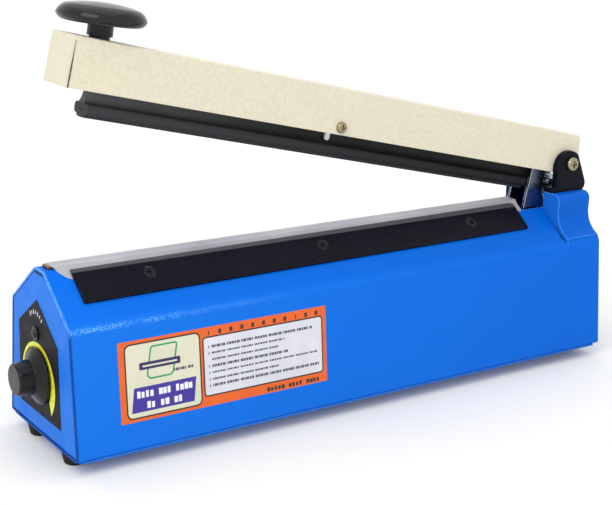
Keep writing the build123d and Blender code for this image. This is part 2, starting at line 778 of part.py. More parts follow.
# ---------------------------------------------------------------- return spring
pin_point = (raised * Location((-18.5, 0, -55.7))).position
coil_radius = 4.2
wire_radius = 0.6
coil_left = anchor_x + 8.0
coil_right = pin_point.X - 8.0
coil_z = pin_point.Z
with BuildPart() as return_spring:
    with BuildLine():
        coil = Helix(
            pitch=(coil_right - coil_left) / 14,
            height=coil_right - coil_left,
            radius=coil_radius,
            center=(coil_left, 0, coil_z),
            direction=(1, 0, 0),
        )
    with BuildSketch(Plane(origin=coil @ 0, z_dir=coil % 0)):
        Circle(wire_radius)
    sweep(is_frenet=True)
    # each end turns in to the axis and finishes in an eye
    for end, eye_x in ((coil @ 0, anchor_x + 0.8), (coil @ 1, pin_point.X)):
        reach = abs(eye_x - end.X) - 2.2
        side = 1 if eye_x > end.X else -1
        with BuildSketch(Plane(origin=end, z_dir=Vector(end.X, 0, coil_z) - end)):
            Circle(wire_radius)
        extrude(amount=coil_radius + 0.3)
        with Locations((end.X + side * (reach / 2 - 0.2), 0, coil_z)):
            Cylinder(wire_radius, reach + 0.4, rotation=(0, 90, 0))
        with Locations((eye_x, 0, coil_z)):
            Torus(2.3, wire_radius, rotation=(90, 0, 0))
save(return_spring.part, "return_spring")

with BuildPart() as spring_anchor:
    with BuildSketch(Plane.XZ.offset(-9)):
        with BuildLine():
            Polyline(
                (anchor_x, base_top),
                (anchor_x, coil_z + 6),
                (anchor_x + 1.6, coil_z + 6),
                (anchor_x + 1.6, base_top + 1.5),
                (anchor_x + 22, base_top + 1.5),
                (anchor_x + 22, base_top),
                close=True,
            )
        make_face()
    extrude(amount=18)
    with Locations((anchor_x, 0, coil_z)):
        Box(12, 2.0, 6.6, mode=Mode.SUBTRACT)
    with Locations((anchor_x + 15, 0, base_top)):
        Cylinder(2.15, 8, mode=Mode.SUBTRACT)
save(spring_anchor.part, "spring_anchor")

# ---------------------------------------------------------------- microswitch worked by the lever
switch_left = lever_pivot_x + 1.4
switch_low = 59.0
with BuildPart() as switch_body:
    with Locations((switch_left, switch_y, switch_low)):
        Box(15.9, 10.2, 27.8, align=(Align.MIN, Align.CENTER, Align.MIN))
    fillet(switch_body.edges().filter_by(Axis.Y), 0.8)
    with Locations((switch_left + 10.5, switch_y, switch_low + 3.0)):
        Cylinder(1.6, 12, rotation=(90, 0, 0), mode=Mode.SUBTRACT)
    with Locations((switch_left + 10.5, switch_y, switch_low + 25.2)):
        Cylinder(1.6, 12, rotation=(90, 0, 0), mode=Mode.SUBTRACT)
    with Locations(*[(switch_left + 15.9, switch_y, switch_low + z) for z in (4.0, 14.0, 24.0)]):
        Box(2.8, 4.8, 0.8, align=(Align.MIN, Align.CENTER, Align.CENTER))
    # hinge lugs for the leaf
    with Locations(*[(lever_pivot_x, switch_y + y, lever_pivot_z) for y in (-3.6, 3.6)]):
        Box(3.6, 1.2, 3.4)
    with Locations((lever_pivot_x, switch_y, lever_pivot_z)):
        Cylinder(0.65, 12, rotation=(90, 0, 0), mode=Mode.SUBTRACT)
save(switch_body.part, "switch_body")

with BuildPart() as switch_leaf:
    Cylinder(0.6, 8.6, rotation=(90, 0, 0))
    with Locations((0, 0, 0)):
        Box(0.5, 4.6, 20.2, align=(Align.CENTER, Align.CENTER, Align.MIN))
    with Locations((-1.2, 0, 20.4)):
        Cylinder(1.6, 4.6, rotation=(90, 0, 0))
leaf_pose = Location((lever_pivot_x, switch_y, lever_pivot_z), (0, -18.4, 0))
save(switch_leaf.part.moved(leaf_pose), "switch_leaf")

plate_y = switch_y + 5.2
with BuildPart() as switch_bracket:
    with Locations((switch_left + 2.5, plate_y, base_top)):
        Box(13, 1.5, switch_low + 27.8 - base_top, align=(Align.MIN, Align.MIN, Align.MIN))
    with Locations((switch_left + 2.5, plate_y, base_top)):
        Box(13, 16, 1.5, align=(Align.MIN, Align.MAX, Align.MIN))
    for z in (3.0, 25.2):
        with Locations((switch_left + 10.5, plate_y, switch_low + z)):
            Cylinder(1.6, 8, rotation=(90, 0, 0), mode=Mode.SUBTRACT)
    with Locations((lever_pivot_x + 10.4, 5.2, base_top)):
        Cylinder(2.15, 8, mode=Mode.SUBTRACT)
save(switch_bracket.part, "switch_bracket")

side_screw = pan_screw(2.8, 1.8, 1.5, 13.4)
switch_face = Plane(origin=(switch_left + 10.5, switch_y - 5.1, 0), x_dir=(1, 0, 0), z_dir=(0, -1, 0))
with BuildPart() as switch_screws:
    with Locations(*[switch_face.location * Location((0, switch_low + z, 0)) for z in (3.0, 25.2)]):
        add(side_screw)
save(switch_screws.part, "switch_screws")

# ---------------------------------------------------------------- transformer
core_low = base_top + 0.3
core_width = 66.0
core_height = 55.0
core_stack = 40.0
with BuildPart() as transformer_core:
    with Locations((core_x, 0, core_low)):
        Box(core_width, core_stack, core_height, align=(Align.CENTER, Align.CENTER, Align.MIN))
    with Locations((core_x - 16.5, 0, core_low + 11), (core_x + 16.5, 0, core_low + 11)):
        Box(11, 60, 33, align=(Align.CENTER, Align.CENTER, Align.MIN), mode=Mode.SUBTRACT)
save(transformer_core.part, "transformer_core")

with BuildPart() as transformer_bobbin:
    with Locations((core_x, 0, core_low + 11.1)):
        Box(43.4, 61, 1.2, align=(Align.CENTER, Align.CENTER, Align.MIN))
        Box(24.2, 42.2, 32.8, align=(Align.CENTER, Align.CENTER, Align.MIN))
    with Locations((core_x, 0, core_low + 43.9)):
        Box(43.4, 61, 1.2, align=(Align.CENTER, Align.CENTER, Align.MAX))
    with Locations((core_x, 0, core_low)):
        Box(22.2, 40.2, 60, align=(Align.CENTER, Align.CENTER, Align.MIN), mode=Mode.SUBTRACT)
save(transformer_bobbin.part, "transformer_bobbin")

with BuildPart() as transformer_coil:
    with Locations((core_x, 0, core_low + 12.4)):
        Box(42.0, 59, 30.2, align=(Align.CENTER, Align.CENTER, Align.MIN))
    fillet(transformer_coil.edges().filter_by(Axis.Z), 6)
    with Locations((core_x, 0, core_low)):
        Box(24.3, 42.3, 60, align=(Align.CENTER, Align.CENTER, Align.MIN), mode=Mode.SUBTRACT)
save(transformer_coil.part, "transformer_coil")

strap = 1.5
with BuildPart() as transformer_strap:
    with BuildSketch(Plane.XZ.offset(-16)):
        with Locations((core_x, base_top + (core_height + 0.4 + strap) / 2)):
            Rectangle(core_width + 2 * strap + 0.2, core_height + 0.4 + strap)
        with Locations((core_x, base_top + strap / 2)):
            Rectangle(core_width + 28, strap)
        with Locations((core_x, base_top + (core_height + 0.4) / 2)):
            Rectangle(core_width + 0.2, core_height + 0.4, mode=Mode.SUBTRACT)
    extrude(amount=32)
    with Locations(*[(x, y, base_top) for x, y in chassis_spots[:4]]):
        Cylinder(2.15, 8, mode=Mode.SUBTRACT)
save(transformer_strap.part, "transformer_strap")

chassis_screw = pan_screw(3.4, 2.2, 2.0, 3.6)
with BuildPart() as chassis_screws:
    with Locations(*[(x, y, base_top + strap) for x, y in chassis_spots]):
        add(chassis_screw)
save(chassis_screws.part, "chassis_screws")

# ---------------------------------------------------------------- timer board
board_left = body_left + 42.0
board_z = 24.0
board_posts = [(board_left + x, y) for x in (4.0, 62.0) for y in (-24.0, 24.0)]
with BuildPart() as timer_board:
    with Locations((board_left, 0, board_z)):
        Box(66, 56, 1.6, align=(Align.MIN, Align.CENTER, Align.MIN))
    with Locations(*[(x, y, board_z) for x, y in board_posts]):
        Cylinder(1.6, 6, mode=Mode.SUBTRACT)
save(timer_board.part, "timer_board")

with BuildPart() as board_supports:
    with Locations(*[(x, y, base_top) for x, y in board_posts]):
        Cylinder(3.0, board_z - base_top, align=(Align.CENTER, Align.CENTER, Align.MIN))
        Cylinder(1.5, board_z - base_top + 3.2, align=(Align.CENTER, Align.CENTER, Align.MIN))
    chamfer(board_supports.edges().group_by(Axis.Z)[-1], 0.5)
save(board_supports.part, "board_supports")

with BuildPart() as timer_relay:
    with Locations((board_left + 44, -8, board_z + 1.6)):
        Box(19, 15.4, 15.6, align=(Align.CENTER, Align.CENTER, Align.MIN))
    fillet(timer_relay.edges().filter_by(Axis.Z), 0.8)
save(timer_relay.part, "timer_relay")

with BuildPart() as board_capacitors:
    with Locations((board_left + 14, -14, board_z + 1.6)):
        Cylinder(5.0, 16, align=(Align.CENTER, Align.CENTER, Align.MIN))
    with Locations((board_left + 26, -16, board_z + 1.6)):
        Cylinder(3.2, 11, align=(Align.CENTER, Align.CENTER, Align.MIN))
    with Locations((board_left + 14, -1, board_z + 1.6)):
        Cylinder(3.2, 11, align=(Align.CENTER, Align.CENTER, Align.MIN))
save(board_capacitors.part, "board_capacitors")

with BuildPart() as buzzer:
    with Locations((board_left + 24, 13, board_z + 1.6)):
        Cylinder(7.0, 7.5, align=(Align.CENTER, Align.CENTER, Align.MIN))
        Cylinder(1.2, 20, mode=Mode.SUBTRACT)
save(buzzer.part, "buzzer")

# ---------------------------------------------------------------- secondary leads to the element
left_run = [
    (stud_x[0], 0, 97.4),
    (stud_x[0] + 9, 0, 91),
    (core_x - 45, 0, 88),
    (core_x - 12, 25, 72),
    (core_x - 12, 25, core_low + 44.4),
]
right_run = [
    (stud_x[1], 0, 97.4),
    (stud_x[1] - 9, 0, 94),
    (core_x + 45, 0, 92),
    (core_x + 12, 25, 74),
    (core_x + 12, 25, core_low + 44.4),
]
with BuildPart() as element_leads:
    for run in (left_run, right_run):
        with BuildLine():
            lead = FilletPolyline(*run, radius=6)
        with BuildSketch(Plane(origin=lead @ 0, z_dir=lead % 0)):
            Circle(1.4)
        sweep()
        with Locations((run[0][0], 0, 98.4)):
            Cylinder(2.9, 3.2)
    with Locations(*[(x, 0, 98.4) for x in stud_x]):
        Cylinder(1.55, 12, mode=Mode.SUBTRACT)
save(element_leads.part, "element_leads")
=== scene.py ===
import json
import math

import bmesh
import bpy
from mathutils import Matrix, Vector, noise


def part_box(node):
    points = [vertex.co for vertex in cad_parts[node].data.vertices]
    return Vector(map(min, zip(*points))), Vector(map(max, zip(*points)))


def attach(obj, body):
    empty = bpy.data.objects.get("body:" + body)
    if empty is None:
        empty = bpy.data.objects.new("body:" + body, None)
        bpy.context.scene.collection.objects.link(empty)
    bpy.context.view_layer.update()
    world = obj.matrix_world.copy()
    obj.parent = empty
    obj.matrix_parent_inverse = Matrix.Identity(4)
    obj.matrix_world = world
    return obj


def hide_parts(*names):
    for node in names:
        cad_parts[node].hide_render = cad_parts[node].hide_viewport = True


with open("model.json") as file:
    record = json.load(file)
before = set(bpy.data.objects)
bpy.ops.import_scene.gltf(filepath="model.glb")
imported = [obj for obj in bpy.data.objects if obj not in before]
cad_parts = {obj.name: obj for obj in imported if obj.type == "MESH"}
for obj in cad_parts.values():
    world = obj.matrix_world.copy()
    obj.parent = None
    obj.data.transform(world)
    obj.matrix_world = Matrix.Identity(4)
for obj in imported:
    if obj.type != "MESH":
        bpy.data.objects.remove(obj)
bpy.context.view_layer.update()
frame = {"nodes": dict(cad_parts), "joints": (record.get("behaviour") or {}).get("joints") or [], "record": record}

MM = 0.001

# ---------------------------------------------------------------- measures, in millimetres
shell_low, shell_high = (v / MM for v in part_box("housing_shell"))
left_x, right_x = shell_low.x, shell_high.x
foot_z, wall_y = shell_low.z, shell_high.y
sheet_mm = 1.2
# shoulder fold and ridge as (y, z), with the slope's direction and outward normal on the front side
shoulder, ridge = (39.6, 82.7), (5.85, 108.5)
slope_run = (Vector(ridge) - Vector(shoulder)).length
slope_up = Vector((0, shoulder[0] - ridge[0], ridge[1] - shoulder[1])) / slope_run
slope_out = Vector((0, -slope_up.z, slope_up.y))
# where the hinge tower and the lever slot start
tower_x, slot_x = 174.0, 154.0
# clamp strips and their screws: along X, and up the slope from the shoulder
strip_left, strip_right = -181.6, 149.5
strip_low, strip_high = 18.5, 41.3
strip_lean = 0.8
clamp_x, clamp_t = (-136.0, -16.0, 104.5), 30.5
# release cloth
cloth_left, cloth_right = -191.0, 153.5
cloth_thick = 0.14
lamp_y, lamp_z = 5.4, 69.5
# the arm's hinge and how far it stands open at rest, in radians
hinge = next(j for j in frame["joints"] if j["name"] == "arm_hinge")
arm_turn = math.radians(-hinge["range_deg"][0])


# ---------------------------------------------------------------- camera
def make_camera():
    """Camera at the height, heading and focal length that the object was seen with."""
    spot = (-0.4796, -0.6793, 0.3240)
    heading, rise, roll = (math.radians(v) for v in (-34.24, 15.64, 1.47))
    right = Vector((math.cos(heading), math.sin(heading), 0))
    back = Vector((
        math.sin(heading) * math.cos(rise),
        -math.cos(heading) * math.cos(rise),
        math.sin(rise),
    ))
    up = back.cross(right)
    across = math.cos(roll) * right + math.sin(roll) * up
    upward = math.cos(roll) * up - math.sin(roll) * right
    data = bpy.data.cameras.new("camera")
    data.lens = 79.56
    data.sensor_width = 36.0
    data.clip_start = 0.01
    data.clip_end = 60
    camera = bpy.data.objects.new("camera", data)
    bpy.context.scene.collection.objects.link(camera)
    turn = Matrix((across, upward, back)).transposed().to_4x4()
    camera.matrix_world = Matrix.Translation(spot) @ turn
    bpy.context.scene.camera = camera


make_camera()


# ---------------------------------------------------------------- material nodes
def tone(red, green, blue):
    """Linear colour from an 8-bit display colour."""
    return tuple(
        v / 12.92 if v <= 0.04045 else ((v + 0.055) / 1.055) ** 2.4
        for v in (red / 255, green / 255, blue / 255)
    )


class Finish:
    """A node material around one Principled shader, with helpers that return sockets."""

    def __init__(self, name, colour, rough, **fixed):
        self.mat = bpy.data.materials.new(name)
        self.mat.use_nodes = True
        self.tree = self.mat.node_tree
        self.tree.nodes.clear()
        self.bsdf = self.tree.nodes.new("ShaderNodeBsdfPrincipled")
        out = self.tree.nodes.new("ShaderNodeOutputMaterial")
        self.tree.links.new(self.bsdf.outputs[0], out.inputs[0])
        self.bsdf.inputs["Base Color"].default_value = (*colour, 1)
        self.bsdf.inputs["Roughness"].default_value = rough
        for key, value in fixed.items():
            self.bsdf.inputs[key.replace("_", " ")].default_value = value
        self.place = self.tree.nodes.new("ShaderNodeTexCoord").outputs["Object"]
        self.mat.diffuse_color = (*colour, 1)

    def plug(self, socket, value):
        if isinstance(value, bpy.types.NodeSocket):
            self.tree.links.new(value, socket)
        elif isinstance(value, tuple) and len(value) == 3 and socket.type == "RGBA":
            socket.default_value = (*value, 1)
        else:
            socket.default_value = value

    def math(self, kind, a, b=0.0, clamp=False):
        node = self.tree.nodes.new("ShaderNodeMath")
        node.operation = kind
        node.use_clamp = clamp
        self.plug(node.inputs[0], a)
        self.plug(node.inputs[1], b)
        return node.outputs[0]

    def times(self, first, *others):
        """Product of sockets and numbers."""
        for other in others:
            first = self.math("MULTIPLY", first, other)
        return first

    def stretched(self, scale):
        node = self.tree.nodes.new("ShaderNodeMapping")
        node.inputs["Scale"].default_value = scale
        self.plug(node.inputs["Vector"], self.place)
        return node.outputs[0]

    def noise(self, scale, detail=2.0, stretch=None, rough=0.5, distortion=0.0):
        node = self.tree.nodes.new("ShaderNodeTexNoise")
        node.inputs["Scale"].default_value = scale
        node.inputs["Detail"].default_value = detail
        node.inputs["Roughness"].default_value = rough
        node.inputs["Distortion"].default_value = distortion
        self.plug(node.inputs["Vector"], self.stretched(stretch) if stretch else self.place)
        return node.outputs["Fac"]

    def cells(self, scale, smooth=0.6, stretch=None):
        node = self.tree.nodes.new("ShaderNodeTexVoronoi")
        node.feature = "SMOOTH_F1"
        node.inputs["Scale"].default_value = scale
        node.inputs["Smoothness"].default_value = smooth
        self.plug(node.inputs["Vector"], self.stretched(stretch) if stretch else self.place)
        return node.outputs["Distance"]

    def waves(self, scale, axis, distortion=0.0):
        node = self.tree.nodes.new("ShaderNodeTexWave")
        node.bands_direction = axis
        node.inputs["Scale"].default_value = scale
        node.inputs["Distortion"].default_value = distortion
        self.plug(node.inputs["Vector"], self.place)
        return node.outputs["Fac"]

    def span(self, value, low, high, to_low=0.0, to_high=1.0):
        node = self.tree.nodes.new("ShaderNodeMapRange")
        self.plug(node.inputs["Value"], value)
        for key, number in zip(("From Min", "From Max", "To Min", "To Max"), (low, high, to_low, to_high)):
            node.inputs[key].default_value = number
        return node.outputs[0]

    def axis(self, index):
        node = self.tree.nodes.new("ShaderNodeSeparateXYZ")
        self.plug(node.inputs[0], self.place)
        return node.outputs[index]

    def blend(self, share, first, second):
        node = self.tree.nodes.new("ShaderNodeMix")
        node.data_type = "RGBA"
        self.plug(node.inputs[0], share)
        self.plug(node.inputs[6], first)
        self.plug(node.inputs[7], second)
        return node.outputs[2]

    def in_arm(self):
        """Coordinates along and above the raised arm, from its pivot."""
        pivot = hinge["pos_m"]
        cosine, sine = math.cos(arm_turn), math.sin(arm_turn)
        x = self.math("SUBTRACT", self.axis(0), pivot[0])
        z = self.math("SUBTRACT", self.axis(2), pivot[2])
        along = self.math("SUBTRACT", self.times(x, cosine), self.times(z, sine))
        above = self.math("ADD", self.times(x, sine), self.times(z, cosine))
        return along, above

    def soft_edges(self, radius):
        """Normal that rounds sharp edges over this radius, and how near an edge a point is."""
        bevel = self.tree.nodes.new("ShaderNodeBevel")
        bevel.samples = 4
        bevel.inputs["Radius"].default_value = radius
        shape = self.tree.nodes.new("ShaderNodeNewGeometry")
        dot = self.tree.nodes.new("ShaderNodeVectorMath")
        dot.operation = "DOT_PRODUCT"
        self.plug(dot.inputs[0], bevel.outputs[0])
        self.plug(dot.inputs[1], shape.outputs["Normal"])
        near = self.math("SUBTRACT", 1.0, dot.outputs["Value"], clamp=True)
        return bevel.outputs[0], near

    def bump(self, height, strength, depth, under=None):
        node = self.tree.nodes.new("ShaderNodeBump")
        node.inputs["Strength"].default_value = strength
        node.inputs["Distance"].default_value = depth
        self.plug(node.inputs["Height"], height)
        if under is not None:
            self.plug(node.inputs["Normal"], under)
        return node.outputs[0]

    def use(self, colour=None, rough=None, normal=None):
        if colour is not None:
            self.plug(self.bsdf.inputs["Base Color"], colour)
        if rough is not None:
            self.plug(self.bsdf.inputs["Roughness"], rough)
        if normal is not None:
            self.plug(self.bsdf.inputs["Normal"], normal)
        return self.mat


def scaled(colour, factor):
    return tuple(min(1.0, c * factor) for c in colour)


def common(name, colour, rough, grain=900.0, depth=0.00004, strength=0.5, vary=0.12, edge=0.0005,
           wear=None, wear_limit=0.12, swing=0.12, stretch=None, **fixed):
    """Ordinary solid finish: broad tone drift, fine grain, uneven gloss, eased and worn edges."""
    f = Finish(name, colour, rough, **fixed)
    drift = f.span(f.noise(28.0, 3.0), 0.3, 0.7)
    shade = f.blend(drift, scaled(colour, 1 - vary), scaled(colour, 1 + vary))
    normal, near = f.soft_edges(edge)
    if wear is not None:
        rubbed = f.times(f.span(near, 0.03, wear_limit), f.span(f.noise(420.0, 4.0), 0.5, 0.62))
        shade = f.blend(rubbed, shade, wear)
    fine = f.noise(grain, 3.0, stretch)
    shiny, dull = max(0.02, rough - swing / 2), min(1.0, rough + swing / 2)
    gloss = f.span(f.noise(150.0, 4.0), 0.3, 0.7, shiny, dull)
    return f.use(shade, gloss, f.bump(fine, strength, depth, normal))


def housing_paint():
    """Blue powder coat with fine orange peel, speckled wear on the shoulder fold and cut ends."""
    f = Finish("blue_powder_coat", tone(2, 98, 214), 0.4, Specular_IOR_Level=0.07)
    left, tower = left_x * MM, tower_x * MM
    fold_y, fold_z = (v * MM for v in shoulder)
    x, height = f.axis(0), f.axis(2)
    along = f.span(x, -0.2, 0.2)
    above = f.span(height, fold_z - 0.0002, fold_z + 0.0038)
    drift = f.span(f.noise(22.0, 3.0), 0.3, 0.7)
    chips = f.noise(1000.0, 3.0, rough=0.6)
    normal, near = f.soft_edges(0.0007)
    # painted light: the wall is painted lighter towards the control end and deeper towards the hinge end
    shade = f.blend(along, tone(22, 111, 217), tone(0, 95, 203))
    shade = f.blend(f.times(drift, 0.25), shade, tone(6, 110, 220))
    # painted shade: the tower's outer side and the roof slopes are painted a little deeper, and a painted
    # highlight makes the tower's inner face lighter
    painted_shade_beside = f.times(above, f.span(x, tower + 0.0005, tower + 0.002))
    shade = f.blend(f.times(painted_shade_beside, 0.14), shade, (0.0, 0.01, 0.02))
    roof = f.times(above, f.span(x, tower - 0.0008, tower - 0.0002, 1.0, 0.0))
    shade = f.blend(roof, shade, f.blend(along, tone(0, 101, 212), tone(0, 91, 193)))
    inner = f.span(x, tower - 0.0004, tower - 0.0001)
    inner = f.times(inner, f.span(x, tower + 0.0001, tower + 0.0004, 1.0, 0.0), above)
    shade = f.blend(f.times(inner, 0.3), shade, tone(50, 132, 226))
    # the cut end is rubbed along the roof and leaves a dark seam down the wall
    rim = f.span(x, left + 0.0004, left + 0.0016, 1.0, 0.0)
    upper = f.span(height, fold_z - 0.0037, fold_z + 0.0033)
    seam = f.times(rim, f.math("SUBTRACT", 1.0, upper))
    shade = f.blend(f.times(seam, 0.8), shade, tone(2, 44, 118))
    end = f.times(rim, upper, f.span(chips, 0.36, 0.54))
    # sharp edges are chipped, except down the cut end
    worn = f.times(f.span(near, 0.03, 0.12), f.span(chips, 0.4, 0.56))
    worn = f.times(worn, f.math("MAXIMUM", upper, f.span(x, left + 0.007, left + 0.017)))
    # the shoulder fold is rubbed towards the control end
    off_y = f.math("SUBTRACT", f.math("ABSOLUTE", f.axis(1)), fold_y)
    off_z = f.math("SUBTRACT", height, fold_z)
    away = f.math("SQRT", f.math("ADD", f.times(off_y, off_y), f.times(off_z, off_z)))
    fade = f.span(x, -0.17, -0.05, 1.0, 0.0)
    patchy = f.span(f.noise(90.0, 2.0), 0.34, 0.56, 0.25, 1.0)
    rub = f.times(f.span(away, 0.0008, 0.0024, 1.0, 0.0), fade, patchy, f.span(chips, 0.47, 0.56))
    mask = f.times(f.math("MAXIMUM", rub, f.math("MAXIMUM", worn, end)), 0.6)
    # the folded corners of the hinge tower catch the light
    corner = f.times(f.span(x, tower - 0.0025, tower - 0.001), f.span(near, 0.004, 0.05))
    corner = f.times(corner, f.span(height, fold_z + 0.0018, fold_z + 0.0048), 0.7)
    shade = f.blend(f.math("MAXIMUM", mask, corner), shade, tone(120, 184, 252))
    # the inside of the tower lies in shadow behind the lever
    behind = f.times(f.span(f.axis(1), 0.0215, 0.0225), f.span(x, tower - 0.0005, tower - 0.0002))
    behind = f.times(behind, f.span(height, 0.095, 0.1), f.span(x, tower + 0.002, tower + 0.008, 0.85, 0.0))
    shade = f.blend(behind, shade, tone(12, 20, 40))
    gloss = f.span(f.noise(120.0, 4.0), 0.3, 0.7, 0.34, 0.48)
    peel = f.bump(f.noise(1150.0, 2.0), 0.3, 0.00005, normal)
    return f.use(shade, gloss, f.bump(f.noise(300.0, 2.0), 0.1, 0.0002, peel))


def plate_paint():
    """Blue powder coat of the end plates: painted a little lighter than the housing, as painted light on the end
    faces, with a finer speckle.
    """
    f = Finish("blue_end_plate", tone(6, 96, 206), 0.46, Specular_IOR_Level=0.12)
    chips = f.noise(900.0, 3.0, rough=0.6)
    drift = f.span(f.noise(26.0, 3.0), 0.3, 0.7)
    shade = f.blend(drift, tone(8, 102, 208), tone(16, 108, 214))
    # the fine speckle is real, its lighter mix stands for painted light on the end faces
    shade = f.blend(f.times(f.span(chips, 0.4, 0.7), 0.35), shade, tone(42, 128, 222))
    normal, near = f.soft_edges(0.0008)
    worn = f.times(f.span(near, 0.03, 0.14), f.span(chips, 0.36, 0.54))
    shade = f.blend(f.times(worn, 0.5), shade, tone(130, 190, 252))
    # shadowed step under the ridge of the control end
    step_z, left = ridge[1] * MM - 0.0034, left_x * MM
    near_end = f.span(f.axis(0), left + 0.007, left + 0.017, 1.0, 0.0)
    step = f.times(f.span(f.axis(2), step_z, step_z + 0.0006), near_end)
    shade = f.blend(f.times(step, 0.85), shade, tone(4, 24, 66))
    gloss = f.span(f.noise(120.0, 4.0), 0.3, 0.7, 0.4, 0.55)
    peel = f.bump(f.noise(1000.0, 2.0), 0.35, 0.00006, normal)
    return f.use(shade, gloss, peel)


def cream_paint():
    """Ivory hammered enamel: shallow cells about two millimetres across, an even ivory tone."""
    f = Finish("cream_hammered_enamel", tone(213, 207, 186), 0.4, Specular_IOR_Level=0.35)
    cell = f.cells(560.0, 0.9)
    mottle = f.noise(500.0, 4.0, rough=0.55)
    tint = f.blend(f.span(f.noise(30.0, 3.0), 0.35, 0.65), tone(215, 209, 186), tone(213, 208, 188))
    shade = f.blend(f.times(f.span(mottle, 0.42, 0.64), 0.45), tint, tone(197, 191, 166))
    # the free end is a folded flap: its end face is painted a little greyer as painted shade, and painted shade
    # widens the dark open seam beside it, strongest low on the arm
    along, above = f.in_arm()
    seam = 0.38138
    shade = f.blend(f.span(along, -seam - 0.0013, -seam - 0.0011, 0.09, 0.0), shade, (0.0, 0.0, 0.0))
    painted_shade_beside = f.span(f.math("ABSOLUTE", f.math("ADD", along, seam)), 0.0004, 0.0007, 1.0, 0.0)
    shade = f.blend(f.times(painted_shade_beside, f.span(above, 0.004, 0.015, 0.85, 0.0)), shade, tone(66, 62, 50))
    normal, near = f.soft_edges(0.0006)
    worn = f.times(f.span(near, 0.05, 0.2), f.span(f.noise(700.0, 3.0), 0.45, 0.6))
    shade = f.blend(f.times(worn, 0.35), shade, tone(240, 236, 220))
    gloss = f.span(mottle, 0.3, 0.7, 0.34, 0.48)
    surface = f.bump(mottle, 0.2, 0.00015, f.bump(cell, 0.35, 0.0004, normal))
    return f.use(shade, gloss, surface)


def zinc(name, colour, rough, rim=None, cast=None):
    """Plated or bright metal with a rolled grain, patches of another cast and a lit rim."""
    f = Finish(name, colour, rough, Metallic=1.0)
    patch = f.span(f.noise(90.0, 3.0), 0.35, 0.65)
    shade = f.blend(patch, scaled(colour, 0.86), cast or scaled(colour, 1.05))
    normal, near = f.soft_edges(0.0003 if rim is None else 0.0008)
    if rim is not None:
        shade = f.blend(f.span(near, 0.02, 0.14), shade, rim)
    streak = f.noise(260.0, 4.0, (1.0, 1.0, 14.0))
    gloss = f.span(streak, 0.3, 0.7, max(0.05, rough - 0.1), rough + 0.14)
    return f.use(shade, gloss, f.bump(streak, 0.2, 0.00003, normal))


def cloth_finish():
    """PTFE-coated glass cloth: a fine plain weave under a waxy coat, greyed where it is pressed."""
    base = tone(196, 194, 206)
    f = Finish("glass_cloth", base, 0.42, Specular_IOR_Level=0.4, Sheen_Weight=0.15)
    weave = f.times(f.waves(560.0, "X"), f.waves(560.0, "Y"))
    soil = f.span(f.noise(38.0, 4.0, (0.4, 1.0, 1.0)), 0.35, 0.7)
    shade = f.blend(soil, tone(172, 171, 178), tone(147, 145, 155))
    middle = f.span(f.math("ABSOLUTE", f.axis(1)), 0.0012, 0.0032, 0.35, 0.0)
    shade = f.blend(middle, shade, tone(128, 124, 136))
    crease = f.noise(95.0, 3.0, (0.35, 1.0, 1.0))
    gloss = f.span(soil, 0.0, 1.0, 0.36, 0.5)
    return f.use(shade, gloss, f.bump(crease, 0.3, 0.0006, f.bump(weave, 0.25, 0.00006)))


def print_ink(name, colour, rough=0.3, shine=0.3):
    """Screen-printed ink under a clear film."""
    f = Finish(name, colour, rough, Specular_IOR_Level=shine)
    shade = f.blend(f.span(f.noise(70.0, 3.0), 0.35, 0.65), scaled(colour, 0.95), scaled(colour, 1.04))
    film = f.noise(420.0, 2.0)
    gloss = f.span(f.noise(160.0, 3.0), 0.3, 0.7, rough - 0.05, rough + 0.1)
    return f.use(shade, gloss, f.bump(film, 0.12, 0.00008))


def lamp_finish():
    """Dark tinted lens of an unlit neon lamp."""
    f = Finish("lamp_lens", tone(40, 22, 24), 0.12, Coat_Weight=0.3, Coat_Roughness=0.08,
               Specular_IOR_Level=0.25)
    shade = f.blend(f.span(f.cells(900.0), 0.2, 0.7), tone(32, 18, 20), tone(16, 12, 14))
    return f.use(shade, None, f.bump(f.noise(700.0), 0.1, 0.00005))


def winding():
    """Enamelled copper turns showing through varnished tape."""
    f = Finish("coil_wrap", tone(196, 160, 70), 0.35)
    turns = f.waves(420.0, "Z", 0.6)
    shade = f.blend(turns, tone(170, 128, 48), tone(216, 184, 92))
    return f.use(shade, f.span(turns, 0.0, 1.0, 0.3, 0.5), f.bump(turns, 0.5, 0.0002))


def laminations():
    """Stacked transformer steel with its sheet lines and brushed varnish."""
    f = Finish("core_steel", tone(92, 90, 88), 0.45, Metallic=0.8)
    lines = f.waves(620.0, "Y", 0.4)
    shade = f.blend(lines, tone(70, 68, 66), tone(112, 110, 106))
    gloss = f.span(f.noise(200.0, 3.0), 0.3, 0.7, 0.35, 0.6)
    return f.use(shade, gloss, f.bump(lines, 0.4, 0.0002, f.soft_edges(0.0004)[0]))


def board_finish():
    """Green solder mask over copper tracks."""
    f = Finish("board_green", tone(18, 92, 48), 0.35)
    tracks = f.span(f.cells(190.0, 0.1), 0.28, 0.34)
    shade = f.blend(tracks, tone(26, 120, 62), tone(12, 74, 40))
    return f.use(shade, f.span(f.noise(300.0), 0.3, 0.7, 0.28, 0.42), f.bump(tracks, 0.3, 0.00005))


